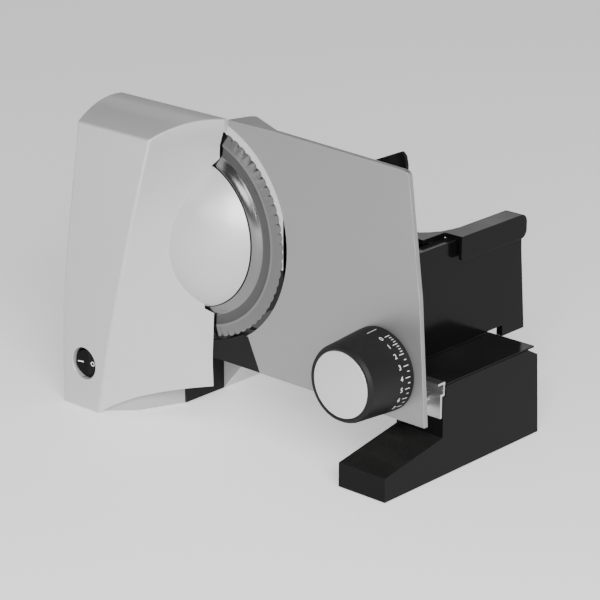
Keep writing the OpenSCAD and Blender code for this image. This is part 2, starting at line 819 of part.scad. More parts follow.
module cord_gland() color("dimgray") at_datum() difference() {
    union() {
        rod_y(gland_x, gland_z, leg_back - leg_wall - gland_t, gland_r - gland_t, leg_wall + gland_t);
        rod_y(gland_x, gland_z, leg_back, gland_r, gland_t);
        on_y(gland_x, gland_z, leg_back + gland_t)
            cylinder(r1 = gland_r - gland_t / 2, r2 = gland_hole_r + gland_wall, h = gland_out - gland_t);
    }
    rod_y(gland_x, gland_z, leg_back - 2 * leg_wall, gland_hole_r, 4 * leg_wall + gland_out);
}

module rubber_feet() color("black") at_datum() {
    for (p = concat(tray_feet, case_feet, leg_feet, block_feet)) translate([p[0], p[1], 0])
        cylinder(r = foot_r, h = foot_gap);
}

// Straps across a hollow block, which carry its rubber feet
module foot_straps(feet, x0, x1) for (p = feet)
    block([x0, p[1] - foot_r - over, foot_gap], [x1, p[1] + foot_r + over, foot_gap + foot_strap]);

module rod_bushes() color("goldenrod") at_datum() for (x = rod_x) difference() {
    rod_y(x, rod_z, seat_y, rod_r + rod_bush_wall, rod_bush_len);
    rod_y(x, rod_z, seat_y - over, rod_r + run_gap, rod_bush_len + 2 * over);
}

module spindle_nut() color("dimgray") at_datum() difference() {
    union() {
        rod_y(knob_x, knob_z, nut_y, nut_r, nut_len);
        block([knob_x - nut_r * nut_foot_share, rail_front, rail_top],
            [knob_x + nut_r, nut_y + nut_len, knob_z]);
    }
    rod_y(knob_x, knob_z, nut_y - over, spindle_r + run_gap, nut_len + 2 * over);
}

// Blade: steel disc with a pressed ring, a flat band and a scalloped, ground edge
module blade_profile() polygon([
    [blade_shaft_r + seat_gap, blade_front], [hub_r, blade_front], [ridge_r, ridge_y],
    [band_in, blade_front + dish], [band_out, blade_front + dish], [blade_r, edge_y - lip_t],
    [blade_r, edge_y], [band_out, edge_y - lip_t], [band_in, edge_y - band_drop],
    [ridge_r + 0.2 * blade_t, ridge_y + 1.3 * blade_t], [hub_r + 0.5 * blade_t, blade_front + blade_t],
    [blade_shaft_r + seat_gap, blade_front + blade_t]]);

module blade() color("lightgray") at_datum() difference() {
    intersection() {
        on_blade(0) rotate_extrude($fn = 180) blade_profile();
        on_blade(dome_back) linear_extrude(plate_t - 2 * dome_back) polygon([for (i = [0:4 * edge_teeth - 1])
            let (a = i * 90 / edge_teeth, r = blade_r + run_gap - tooth_shares[i % 4] * edge_depth)
                r * [cos(a), sin(a)]]);
    }
    for (a = [0:120:359]) on_blade(0) rotate([0, 0, a]) translate([hub_screw_pcd_r, 0, -over])
        cylinder(r = hub_screw_r + run_gap, h = plate_t + 2 * over);
}

module blade_shaft() color("gray") at_datum() difference() {
    union() {
        rod_blade(shaft_front + shaft_play, blade_shaft_r, blade_front + blade_t - shaft_front - shaft_play);
        rod_blade(blade_front - hub_flange_t, hub_flange_r, hub_flange_t);
    }
    for (a = [0:120:359]) on_blade(0) rotate([0, 0, a])
        translate([hub_screw_pcd_r, 0, blade_front - hub_flange_t - over])
            cylinder(r = hub_screw_r - tap_drop, h = hub_flange_t + 2 * over);
}

module blade_screws() color("gray") at_datum() for (a = [0:120:359]) on_blade(0) rotate([0, 0, a])
    translate([hub_screw_pcd_r, 0, 0]) {
        translate([0, 0, blade_front - hub_flange_t])
            cylinder(r = hub_screw_r - tap_drop, h = hub_flange_t + blade_t);
        translate([0, 0, blade_front + blade_t]) cylinder(r = 2 * hub_screw_r, h = screw_head_t);
    }

module blade_lock() color("dimgray") at_datum() difference() {
    rod_blade(blade_front + blade_t, lock_r, lock_t);
    rod_blade(blade_front + blade_t - over, lock_r - lock_rim, screw_head_t + head_room + over);
}

module worm_wheel() color("ivory") at_datum() difference() {
    on_blade(wheel_y) linear_extrude(wheel_w) polygon([for (i = [0:wheel_teeth - 1])
        for (c = [[-tooth_root_share, wheel_root], [-tooth_tip_share, wheel_tip], [tooth_tip_share, wheel_tip],
            [tooth_root_share, wheel_root]])
            let (a = 180 + (i + c[0] / 2) * 360 / wheel_teeth) c[1] * [cos(a), sin(a)]]);
    on_blade(wheel_y - over) cylinder(r = blade_shaft_r + run_gap, h = wheel_w + 2 * over);
    on_blade(wheel_y + wheel_w - wheel_recess) cylinder(r = wheel_recess_r, h = wheel_recess + over);
}

module armature_core() color("gray") at_datum() on_motor(core_z) difference() {
    cylinder(r = stator_bore - core_gap, h = core_h);
    translate([0, 0, -over]) cylinder(r = motor_shaft_r, h = core_h + 2 * over);
    for (a = [0:core_slots - 1]) rotate([0, 0, a * 360 / core_slots])
        translate([stator_bore - 3 * core_gap, -core_gap, -over])
            cube([4 * core_gap, 2 * core_gap, core_h + 2 * over]);
}

module armature_shaft() color("lightgray") at_datum()
    on_motor(shaft_foot) cylinder(r = motor_shaft_r, h = shaft_top - shaft_foot);

// Worm: a core with one right-hand thread, as one swept solid
module worm() color("lightgray") at_datum() {
    turns = (worm_len - 2 * worm_pitch) / worm_pitch;
    n = ceil(turns * thread_steps);
    base = worm_root - thread_sink;
    low = blade_z + worm_pitch / 2 - turns * worm_pitch / 2;
    ridge = [[base, thread_root_w / 2], [worm_tip, thread_tip_w / 2], [worm_tip, -thread_tip_w / 2],
        [base, -thread_root_w / 2]];
    rings = [for (i = [0:n]) let (a = (i / n - 0.5) * turns * 360,
        z = blade_z + worm_pitch / 2 + a / 360 * worm_pitch)
            [for (c = ridge) [c[0] * cos(a), c[0] * sin(a), z + c[1]]]];
    translate([worm_x, wheel_mid, 0]) difference() {
        union() {
            translate([0, 0, blade_z - worm_len / 2]) cylinder(r = worm_root, h = worm_len);
            polyhedron([for (r = rings) each r], concat([[0, 1, 2, 3]],
                [for (i = [0:n - 1]) for (k = [0:3]) let (a = 4 * i + k, b = 4 * i + (k + 1) % 4)
                    each [[a, a + 4, b + 4], [a, b + 4, b]]], [[4 * n + 3, 4 * n + 2, 4 * n + 1, 4 * n]]));
        }
        translate([0, 0, low - worm_len]) cylinder(r = motor_shaft_r, h = 3 * worm_len);
    }
}

module commutator() color("peru") at_datum() on_motor(comm_z) difference() {
    cylinder(r = comm_r, h = comm_h);
    translate([0, 0, -over]) cylinder(r = motor_shaft_r, h = comm_h + 2 * over);
    for (a = [0:comm_bars - 1]) rotate([0, 0, a * 360 / comm_bars])
        translate([comm_r - core_gap, -core_gap / 4, -over])
            cube([2 * core_gap, core_gap / 2, comm_h + 2 * over]);
}

module cooling_fan() color("ivory") at_datum() on_motor(fan_z) difference() {
    union() {
        cylinder(r = 2 * motor_shaft_r, h = fan_t);
        cylinder(r = fan_r, h = fan_disc_t);
        for (a = [0:fan_blades - 1]) rotate([0, 0, a * 360 / fan_blades])
            translate([1.5 * motor_shaft_r, -core_gap, 0])
                cube([fan_r - 1.5 * motor_shaft_r, 2 * core_gap, fan_t]);
    }
    translate([0, 0, -over]) cylinder(r = motor_shaft_r, h = fan_t + 2 * over);
}

module stop_plate() color("silver") at_datum() {
    difference() {
        upright(0, plate_t) polygon([[plate_left, housing_h], [plate_flat, housing_h],
            [plate_top_right - 2 * plate_corner, plate_shoulder],
            [plate_top_right - plate_corner / 2, plate_shoulder - plate_corner / 3],
            [plate_top_right, plate_shoulder - plate_corner], [plate_mid_right, plate_mid_z],
            [reach_right, plate_low], [plate_slant_foot, plate_low], plate_slant_top,
            [plate_left, plate_slant_top[1]]]);
        rod_y(cutout_x, cutout_z, -over, cutout_r, plate_t + 2 * over);
        rod_y(knob_x, knob_z, -over, knob_bush_r, plate_t + 2 * over);
    }
    root_y = plate_t - over;
    translate([0, 0, housing_h - flange_t]) linear_extrude(flange_t) polygon([for (s = flange_shares)
        [plate_left + s[0] * (plate_flat - plate_left), root_y + s[1] * (flange_deep - root_y)]]);
}

module guide_rods() color("lightgray") at_datum() for (x = rod_x) {
    rod_y(x, rod_z, plate_t, rod_flange_r, rod_flange_t);
    rod_y(x, rod_z, plate_t, rod_r, rod_end - plate_t);
}

module knob_bush() color("goldenrod") at_datum() difference() {
    rod_y(knob_x, knob_z, 0, knob_bush_r, plate_t);
    rod_y(knob_x, knob_z, -over, spindle_r + run_gap, plate_t + 2 * over);
}

module knob_body() color("dimgray") at_datum() difference() {
    on_y(knob_x, knob_z, -knob_len) rotate_extrude($fn = 180) polygon([
        [0, knob_disc_t], [knob_disc_r + run_gap, knob_disc_t], [knob_disc_r + run_gap, 0],
        [knob_disc_r + knob_rim, 0], [knob_front_r, knob_chamfer], [knob_r, knob_len - knob_skirt],
        [knob_r, knob_len - knob_gap], [0, knob_len - knob_gap]]);
    rod_y(knob_x, knob_z, -knob_len / 2, spindle_r, knob_len);
    on_y(knob_x, knob_z, -knob_len) rotate_extrude() polygon([[knob_hub_r, knob_disc_t + knob_deck],
        [knob_front_r - knob_wall, knob_disc_t + knob_deck], [knob_r - knob_wall, knob_len - knob_skirt],
        [knob_r - knob_wall, knob_len], [knob_hub_r, knob_len]]);
}

module knob_disc() color("lightgray") at_datum()
    on_y(knob_x, knob_z, -knob_len) cylinder(r = knob_disc_r, h = knob_disc_t);

module knob_spindle() color("gray") at_datum() difference() {
    rod_y(knob_x, knob_z, -knob_len / 2, spindle_r, knob_len / 2 + spindle_end);
    for (y = [nut_y + nut_len + thread_step:thread_step:spindle_end - thread_step]) on_y(knob_x, knob_z, y)
        rotate_extrude() translate([spindle_r - thread_depth, 0]) square([spindle_r, thread_step / 2]);
}

module carriage_floor() color("dimgray") at_datum()
    block([floor_left, floor_front, floor_low], [side_in, floor_back, floor_top]);

module carriage_wall() color("dimgray") at_datum() {
    top_back = side_lean_shares[len(side_lean_shares) - 1][1] * reach_back;
    along_x(side_in, side_x) polygon(concat(
        [[notch_y, side_low], [tab_front, side_low], [tab_front, tab_low], [reach_back, tab_low]],
        [for (s = side_lean_shares) [s[1] * reach_back, tab_low + s[0] * (side_top - tab_low)]],
        [[floor_front, side_top], [floor_front, notch_z], [notch_y, notch_z]]));
    block([side_in - rim_w, floor_front, side_top - rim_h], [side_in, top_back, side_top]);
}

module guide_shoe() color("ivory") at_datum() along_x(shoe_left, shoe_right) polygon([
    [shoe_front, shoe_low], [shoe_back, shoe_low], [shoe_back, shoe_lip], [rail_front - slide_gap, shoe_lip],
    [rail_front - slide_gap, floor_low], [shoe_front, floor_low]]);

module carriage_glides() color("ivory") at_datum() for (x = glide_x_shares) for (y = glide_y_shares)
    translate([floor_left + x * floor_len, floor_front + y * (floor_back - floor_front), deck_z + seat_gap])
        cylinder(r = glide_r, h = floor_low - deck_z - seat_gap);

module shield_outline() polygon([
    [shield_left, shield_low], [shield_wide, shield_low],
    [shield_wide, shield_sill], [shield_right, shield_sill],
    [shield_right, shield_top - 2 * shield_round],
    [shield_right - 0.3 * shield_round, shield_top - 0.6 * shield_round],
    [shield_right - shield_round, shield_top],
    [shield_right - shield_bend, shield_top - shield_bend_drop],
    [shield_left + 2 * shield_round, shield_left_top],
    [shield_left, shield_left_top - 2 * shield_round]]);

module pusher_shield() color("dimgray") at_datum() upright(shield_y, shield_t) shield_outline();

module pusher_saddle() color("dimgray") at_datum() {
    foot = [shield_right, shield_y + shield_t];
    span = [saddle_in, saddle_front + web_heel] - foot;
    translate([0, 0, saddle_top - web_t]) linear_extrude(web_t) polygon(concat(
        [for (s = web_curve_shares) foot + [s[0] * span[0], s[1] * span[1]]],
        [foot + span + [web_join - saddle_in, 0], [web_join, saddle_front], [saddle_in, saddle_front],
            [saddle_in, shield_y - web_lead], [shield_right, shield_y - 0.75 * web_lead]]));
    block([saddle_in - inside_t, shield_y + shield_t, inside_low], [saddle_in, saddle_front, saddle_top]);
    intersection() {
        along_x(saddle_in - over, saddle_out + over) polygon(concat(
            quarter(180, [saddle_front, flap_low], flap_round),
            quarter(270, [saddle_end, flap_low], saddle_round),
            quarter(0, [saddle_end, saddle_top], saddle_round), [[saddle_front, saddle_top]]));
        union() {
            block([saddle_in, saddle_front, saddle_top - saddle_t], [saddle_out, saddle_end, saddle_top]);
            block([saddle_out - flap_t, saddle_front, flap_low], [saddle_out, saddle_end, saddle_top]);
        }
    }
}
// Points that round one corner of an outline, starting at an angle
function quarter(start, corner, r) = let (m = start + 45, s = [cos(m) > 0 ? -r : r, sin(m) > 0 ? -r : r])
    [for (a = [start:15:start + 90]) corner + s + r * [cos(a), sin(a)]];

module pusher_spikes() color("lightgray") at_datum() for (i = [0:spike_cols - 1]) for (j = [0:spike_rows - 1])
    on_y(shield_left + (i + 0.5) * (shield_right - shield_left) / spike_cols,
        shield_low + (j + 0.7) * (shield_left_top - shield_low) / (spike_rows + 1), shield_y - spike_len)
        cylinder(r1 = spike_r / 4, r2 = spike_r, h = spike_len);

housing_shell();
gear_plate();
blade_guard();
rear_case();
case_floor();
rear_leg();
bridge_deck();
base_block();
guide_rail();
corner_guard();
motor_stator();
stator_coils();
brush_holders();
gear_bracket();
worm_bushes();
motor_foot_bush();
blade_bush_front();
blade_bush_rear();
switch_body();
switch_rocker();
terminal_block();
cord_gland();
rubber_feet();
guard_screws();
rod_bushes();
spindle_nut();
blade();
blade_shaft();
worm_wheel();
blade_lock();
blade_screws();
armature_core();
armature_shaft();
worm();
commutator();
cooling_fan();
stop_plate();
guide_rods();
knob_bush();
knob_body();
knob_disc();
knob_spindle();
carriage_floor();
carriage_wall();
guide_shoe();
carriage_glides();
pusher_shield();
pusher_saddle();
pusher_spikes();
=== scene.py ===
import json
import math

import bmesh
import bpy
from mathutils import Matrix, Vector


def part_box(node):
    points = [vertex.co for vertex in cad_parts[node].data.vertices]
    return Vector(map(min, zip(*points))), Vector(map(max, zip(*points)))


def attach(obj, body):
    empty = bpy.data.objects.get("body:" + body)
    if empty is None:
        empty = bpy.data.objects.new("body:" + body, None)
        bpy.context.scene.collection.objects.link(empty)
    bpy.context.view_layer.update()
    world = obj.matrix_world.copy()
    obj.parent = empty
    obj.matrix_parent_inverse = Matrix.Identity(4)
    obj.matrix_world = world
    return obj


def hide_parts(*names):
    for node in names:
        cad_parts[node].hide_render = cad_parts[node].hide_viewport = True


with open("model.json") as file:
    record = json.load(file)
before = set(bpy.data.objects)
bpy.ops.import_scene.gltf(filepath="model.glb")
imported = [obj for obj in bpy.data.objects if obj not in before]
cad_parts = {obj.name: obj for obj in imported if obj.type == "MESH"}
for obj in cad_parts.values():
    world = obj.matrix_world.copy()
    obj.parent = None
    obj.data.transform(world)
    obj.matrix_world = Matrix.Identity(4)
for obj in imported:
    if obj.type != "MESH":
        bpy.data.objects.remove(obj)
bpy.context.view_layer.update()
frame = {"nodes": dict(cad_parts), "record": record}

# Sizes are millimetres from a datum: on the floor, in the plane of the stop plate's front face
MM = 0.001
BLADE_SIDE = -3.8
PLATE_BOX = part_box("stop_plate")
BLADE_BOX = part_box("blade")
KNOB_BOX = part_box("knob_body")
DATUM = Vector(((BLADE_BOX[0].x + BLADE_BOX[1].x) / 2 - BLADE_SIDE * MM, PLATE_BOX[0].y, 0))
# Points closer than this become one: in metres, in millimetres, and in a number's outline
WELD_M, WELD_MM, WELD_DIGIT = 0.000001, 0.0005, 0.001
# Degrees below which two faces count as one flat face
FLAT_UNDER = 0.5


def in_mm(point):
    """A place in the frame, in metres, as millimetres from the datum."""
    return (point - DATUM) / MM


def middle(box):
    return (in_mm(box[0]) + in_mm(box[1])) / 2


BLADE_AT = middle(BLADE_BOX)
BLADE_R = (BLADE_BOX[1].x - BLADE_BOX[0].x) / MM / 2
KNOB_AT = middle(KNOB_BOX)
KNOB_FRONT = in_mm(KNOB_BOX[0]).y
KNOB_BACK = in_mm(KNOB_BOX[1]).y
KNOB_R = (KNOB_BOX[1].x - KNOB_BOX[0].x) / MM / 2


# Shader groups

def new_group(name, inputs, outputs):
    tree = bpy.data.node_groups.new(name, "ShaderNodeTree")
    for title, kind, value in inputs:
        socket = tree.interface.new_socket(title, in_out="INPUT", socket_type=kind)
        socket.default_value = value
    for title, kind in outputs:
        tree.interface.new_socket(title, in_out="OUTPUT", socket_type=kind)
    return tree, tree.nodes.new("NodeGroupInput"), tree.nodes.new("NodeGroupOutput")


def put(tree, kind, settings=(), **values):
    """A new node with its settings, and values for its inputs, with _ for a space in their names."""
    made = tree.nodes.new(kind)
    for key, value in settings:
        setattr(made, key, value)
    for key, value in values.items():
        made.inputs[key.replace("_", " ")].default_value = value
    return made


def feed(tree, socket, value):
    """Sets a socket to a number or a colour, or links it to another node's socket."""
    if isinstance(value, (int, float, tuple)):
        socket.default_value = value
    else:
        tree.links.new(value, socket)


def calc(tree, operation, first, second=None):
    """The result of a sum, whose terms are numbers or sockets."""
    made = put(tree, "ShaderNodeMath", [("operation", operation)])
    feed(tree, made.inputs[0], first)
    if second is not None:
        feed(tree, made.inputs[1], second)
    return made.outputs[0]


def noise(tree, scale, detail=2.0, vector=None):
    made = put(tree, "ShaderNodeTexNoise", Detail=detail)
    feed(tree, made.inputs["Scale"], scale)
    if vector is None:
        vector = put(tree, "ShaderNodeTexCoord").outputs["Object"]
    tree.links.new(vector, made.inputs["Vector"])
    return made.outputs["Fac"]


MID_NOISE = 0.5
PATCH_FROM, PATCH_GAIN, PATCH_LEAST = 0.35, 3.0, 0.25
STREAK_STRETCH, STREAK_TURN, STREAK_FINER = (1.0, 1.0, 5.0), (0.3, 0.5, 0.2), 2.5
DUST_SPECKS, DUST_CLOUDS, DUST_GAIN, DUST_SLOPE = 900.0, 18.0, 2.0, 3.0


def swing_tone(tree, pattern, depth, outside):
    """The group's tone: 1, and up or down with the pattern by up to half the depth."""
    swing = calc(tree, "MULTIPLY", calc(tree, "SUBTRACT", pattern, MID_NOISE), depth)
    tree.links.new(calc(tree, "ADD", swing, 1.0), outside.inputs["Tone"])


def moulded_grain_group():
    """Fine texture of a moulding, and the faint clouds in its colour."""
    tree, inside, outside = new_group(
        "moulded_grain",
        [("Grain", "NodeSocketFloat", 2500.0), ("Clouds", "NodeSocketFloat", 14.0),
         ("Cloud Depth", "NodeSocketFloat", 0.05)],
        [("Height", "NodeSocketFloat"), ("Tone", "NodeSocketFloat")])
    tree.links.new(noise(tree, inside.outputs["Grain"]), outside.inputs["Height"])
    swing_tone(tree, noise(tree, inside.outputs["Clouds"], 4.0), inside.outputs["Cloud Depth"], outside)
    return tree


def edge_wear_group():
    """Where handling has rubbed the rounded edges, which carry the attribute rim, and the painted highlight
    that those edges catch.
    """
    tree, inside, outside = new_group(
        "edge_wear_and_highlight",
        [("Patches", "NodeSocketFloat", 60.0), ("Amount", "NodeSocketFloat", 0.5)],
        [("Mask", "NodeSocketFloat")])
    rim = put(tree, "ShaderNodeAttribute", [("attribute_name", "rim")]).outputs["Fac"]
    patch = noise(tree, inside.outputs["Patches"], 5.0)
    patch = calc(tree, "MULTIPLY", calc(tree, "SUBTRACT", patch, PATCH_FROM), PATCH_GAIN)
    patch = calc(tree, "MINIMUM", calc(tree, "MAXIMUM", patch, PATCH_LEAST), 1.0)
    # The rim faces turn lighter: rubbed wear and a painted highlight along the rounded edges
    mask = calc(tree, "MULTIPLY", patch, rim)
    tree.links.new(calc(tree, "MULTIPLY", mask, inside.outputs["Amount"]), outside.inputs["Mask"])
    return tree


def smudge_group():
    """Wiped and touched areas, which change the gloss."""
    tree, inside, outside = new_group(
        "smudges",
        [("Size", "NodeSocketFloat", 22.0), ("Amount", "NodeSocketFloat", 0.06)],
        [("Change", "NodeSocketFloat")])
    broad = noise(tree, inside.outputs["Size"], 3.0)
    place = put(tree, "ShaderNodeMapping", Scale=STREAK_STRETCH, Rotation=STREAK_TURN)
    tree.links.new(put(tree, "ShaderNodeTexCoord").outputs["Object"], place.inputs["Vector"])
    fine = calc(tree, "MULTIPLY", inside.outputs["Size"], STREAK_FINER)
    streak = noise(tree, fine, 5.0, place.outputs[0])
    both = calc(tree, "SUBTRACT", calc(tree, "ADD", broad, streak), 2 * MID_NOISE)
    tree.links.new(calc(tree, "MULTIPLY", both, inside.outputs["Amount"]), outside.inputs["Change"])
    return tree


def drawn_lines_group():
    """Fine parallel lines of rolled or ground metal."""
    tree, inside, outside = new_group(
        "drawn_lines",
        [("Stretch", "NodeSocketVector", (1.0, 60.0, 60.0)), ("Lines", "NodeSocketFloat", 60.0),
         ("Depth", "NodeSocketFloat", 0.08)],
        [("Height", "NodeSocketFloat"), ("Tone", "NodeSocketFloat")])
    place = put(tree, "ShaderNodeMapping")
    tree.links.new(put(tree, "ShaderNodeTexCoord").outputs["Object"], place.inputs["Vector"])
    tree.links.new(inside.outputs["Stretch"], place.inputs["Scale"])
    line = noise(tree, inside.outputs["Lines"], 3.0, place.outputs[0])
    tree.links.new(line, outside.inputs["Height"])
    swing_tone(tree, line, inside.outputs["Depth"], outside)
    return tree


def turned_rings_group():
    """Rings that a lathe leaves round an axis along Y, and a painted sheen that changes round the axis."""
    tree, inside, outside = new_group(
        "turned_rings_and_sheen",
        [("Centre", "NodeSocketVector", (0.0, 0.0, 0.0)), ("Rings", "NodeSocketFloat", 1500.0),
         ("Sweep", "NodeSocketFloat", 1.2), ("Depth", "NodeSocketFloat", 0.12)],
        [("Height", "NodeSocketFloat"), ("Tone", "NodeSocketFloat")])
    away = put(tree, "ShaderNodeVectorMath", [("operation", "SUBTRACT")])
    tree.links.new(put(tree, "ShaderNodeTexCoord").outputs["Object"], away.inputs[0])
    tree.links.new(inside.outputs["Centre"], away.inputs[1])
    parts = put(tree, "ShaderNodeSeparateXYZ")
    tree.links.new(away.outputs[0], parts.inputs[0])
    x, z = parts.outputs["X"], parts.outputs["Z"]
    square = calc(tree, "ADD", calc(tree, "MULTIPLY", x, x), calc(tree, "MULTIPLY", z, z))
    radius = calc(tree, "SQRT", square)
    turn = calc(tree, "ARCTAN2", z, x)
    # The tone also swings with the turn round the axis: painted sheen streaks standing in for anisotropic
    # highlights
    place = put(tree, "ShaderNodeCombineXYZ")
    sheen_sweep = inside.outputs["Sweep"]
    tree.links.new(calc(tree, "MULTIPLY", radius, inside.outputs["Rings"]), place.inputs["X"])
    tree.links.new(calc(tree, "MULTIPLY", calc(tree, "SINE", turn), sheen_sweep), place.inputs["Y"])
    tree.links.new(calc(tree, "MULTIPLY", calc(tree, "COSINE", turn), sheen_sweep), place.inputs["Z"])
    ring = noise(tree, 1.0, 3.0, place.outputs[0])
    tree.links.new(ring, outside.inputs["Height"])
    swing_tone(tree, ring, inside.outputs["Depth"], outside)
    return tree


def settled_dust_group():
    """Thin dust on what faces up."""
    tree, inside, outside = new_group(
        "settled_dust", [("Amount", "NodeSocketFloat", 0.1)], [("Mask", "NodeSocketFloat")])
    parts = put(tree, "ShaderNodeSeparateXYZ")
    tree.links.new(put(tree, "ShaderNodeNewGeometry").outputs["Normal"], parts.inputs[0])
    up = calc(tree, "POWER", calc(tree, "MAXIMUM", parts.outputs["Z"], 0.0), DUST_SLOPE)
    speck = calc(tree, "MULTIPLY", noise(tree, DUST_SPECKS, 4.0), noise(tree, DUST_CLOUDS, 3.0))
    mask = calc(tree, "MULTIPLY", calc(tree, "MULTIPLY", speck, DUST_GAIN), up)
    tree.links.new(calc(tree, "MULTIPLY", mask, inside.outputs["Amount"]), outside.inputs["Mask"])
    return tree


GROUPS = {"grain": moulded_grain_group(), "wear_and_highlight": edge_wear_group(), "smudge": smudge_group(),
          "lines": drawn_lines_group(), "rings": turned_rings_group(), "dust": settled_dust_group()}


# Materials

def place_group(tree, key, **values):
    made = put(tree, "ShaderNodeGroup", [("node_tree", GROUPS[key])])
    for name, value in values.items():
        made.inputs[name.replace("_", " ")].default_value = value
    return made


def grey(level, warmth=0.0):
    return (level * (1 + warmth), level, level * (1 - warmth), 1.0)


COAT_ROUGH = 0.08
RELIEF_M = 0.0002
# How much lighter the rounded edges are: rubbed finish and painted highlight
WORN_LIT_GAIN, WORN_LIT_LIFT = 1.5, 0.04
DUST_COLOR = grey(0.6, 0.03)


def worn(color):
    """The lighter colour under a rubbed finish, which is also the painted highlight on rounded edges."""
    return tuple(min(1.0, c * WORN_LIT_GAIN + WORN_LIT_LIFT) for c in color[:3]) + (1.0,)


def mixed(tree, factor, first, second, blend="MIX"):
    """The mix of two colours, each a colour or a socket."""
    made = put(tree, "ShaderNodeMix", [("data_type", "RGBA"), ("blend_type", blend)])
    for key, value in (("Factor", factor), ("A", first), ("B", second)):
        feed(tree, made.inputs[key], value)
    return made.outputs["Result"]


def surface(name, color, rough, metal=0.0, coat=0.0, pattern="grain", pattern_values=None, bump=0.1,
            wear_and_highlight=0.2, worn_and_lit_color=None, smudge=0.05, dust=0.0, specular=0.5):
    """One finish: a base colour with a pattern, rubbed edges with a painted highlight, smudges and dust."""
    material = bpy.data.materials.new(name)
    material.use_nodes = True
    tree = material.node_tree
    shader = tree.nodes["Principled BSDF"]
    shader.inputs["Metallic"].default_value = metal
    shader.inputs["Coat Weight"].default_value = coat
    shader.inputs["Coat Roughness"].default_value = COAT_ROUGH
    shader.inputs["Specular IOR Level"].default_value = specular
    base = place_group(tree, pattern, **(pattern_values or {}))
    toned = mixed(tree, 1.0, color, base.outputs["Tone"], "MULTIPLY")
    # Rounded edges turn lighter: rubbed wear and a painted highlight
    rubbing_and_highlight = place_group(tree, "wear_and_highlight", Amount=wear_and_highlight).outputs["Mask"]
    rubbed_and_lit = mixed(tree, rubbing_and_highlight, toned, worn_and_lit_color or worn(color))
    dusting = place_group(tree, "dust", Amount=dust).outputs["Mask"]
    tree.links.new(mixed(tree, dusting, rubbed_and_lit, DUST_COLOR), shader.inputs["Base Color"])
    change = place_group(tree, "smudge", Amount=smudge).outputs["Change"]
    tree.links.new(calc(tree, "ADD", change, rough), shader.inputs["Roughness"])
    relief = put(tree, "ShaderNodeBump", Strength=bump, Distance=RELIEF_M)
    tree.links.new(base.outputs["Height"], relief.inputs["Height"])
    tree.links.new(relief.outputs["Normal"], shader.inputs["Normal"])
    return material


def axis_point(spot):
    """A point given in millimetres, as the shaders need it, in metres in the frame."""
    return tuple(DATUM + Vector(spot) * MM)


def silver_moulding():
    return surface("silver_moulding", grey(0.52), 0.42, metal=0.35, coat=0.12, bump=0.10,
                   pattern_values={"Grain": 3200.0, "Clouds": 9.0, "Cloud_Depth": 0.03},
                   wear_and_highlight=0.25, smudge=0.05)


def anodised_plate():
    return surface("anodised_plate", grey(0.30), 0.42, metal=0.7, pattern="lines", bump=0.05,
                   pattern_values={"Stretch": (2.0, 30.0, 60.0), "Lines": 40.0, "Depth": 0.05},
                   # Light grey on the rounded edges: edge wear and a painted highlight
                   wear_and_highlight=0.6, worn_and_lit_color=grey(0.85), smudge=0.08)


def rail_metal():
    return surface("rail_metal", grey(0.62), 0.33, metal=1.0, pattern="lines", bump=0.08,
                   pattern_values={"Stretch": (2.0, 60.0, 60.0), "Lines": 60.0, "Depth": 0.12},
                   # Light grey on the rounded edges: edge wear and a painted highlight
                   wear_and_highlight=0.7, worn_and_lit_color=grey(0.9), smudge=0.08)


def blade_steel():
    """Ground steel, whose attribute zone makes some rings duller or brighter."""
    # Turned rings and a painted sheen that changes round the blade's axis
    rings = {"Centre": axis_point(BLADE_AT), "Rings": 2600.0, "Sweep": 1.4, "Depth": 0.22}
    material = surface("blade_steel", grey(0.22), 0.20, metal=1.0, pattern="rings", bump=0.10,
                       pattern_values=rings, wear_and_highlight=0.0, smudge=0.06)
    tree = material.node_tree
    socket = tree.nodes["Principled BSDF"].inputs["Base Color"]
    plain = socket.links[0].from_socket
    zone = put(tree, "ShaderNodeAttribute", [("attribute_name", "zone")]).outputs["Fac"]
    tree.links.new(mixed(tree, 1.0, plain, zone, "MULTIPLY"), socket)
    return material


def turned_steel():
    return surface("turned_steel", grey(0.50), 0.30, metal=1.0, pattern="lines", bump=0.08,
                   pattern_values={"Stretch": (60.0, 2.0, 60.0), "Lines": 50.0, "Depth": 0.15}, wear_and_highlight=0.4)


def black_gloss():
    return surface("black_gloss", grey(0.004), 0.16, bump=0.02, specular=0.10,
                   pattern_values={"Grain": 1800.0, "Clouds": 20.0, "Cloud_Depth": 0.2},
                   # Greyer rounded edges: edge wear and a painted highlight
                   wear_and_highlight=0.30, worn_and_lit_color=grey(0.06), smudge=0.10, dust=0.03)


def black_satin():
    return surface("black_satin", grey(0.006), 0.42, bump=0.25, specular=0.14,
                   pattern_values={"Grain": 3800.0, "Clouds": 20.0, "Cloud_Depth": 0.2},
                   # Greyer rounded edges: edge wear and a painted highlight
                   wear_and_highlight=0.35, worn_and_lit_color=grey(0.06), smudge=0.07, dust=0.04)


def dial_black():
    return surface("dial_black", grey(0.010), 0.46, bump=0.30, specular=0.15,
                   pattern_values={"Grain": 4200.0, "Clouds": 30.0, "Cloud_Depth": 0.15},
                   # Greyer rounded edges: edge wear and a painted highlight
                   wear_and_highlight=0.30, worn_and_lit_color=grey(0.12), smudge=0.05, dust=0.02)


def dial_metal():
    # Turned rings and a faint painted sheen round the dial's axis
    rings = {"Centre": axis_point(KNOB_AT), "Rings": 2200.0, "Sweep": 0.8, "Depth": 0.06}
    return surface("dial_metal", grey(0.66), 0.42, metal=0.8, pattern="rings", bump=0.06,
                   pattern_values=rings, wear_and_highlight=0.3, smudge=0.06)


def white_print():
    return surface("white_print", grey(0.78), 0.5, bump=0.05, wear_and_highlight=0.0, smudge=0.04)


def foot_rubber():
    return surface("foot_rubber", grey(0.03), 0.8, bump=0.4, wear_and_highlight=0.1, smudge=0.05, dust=0.1)


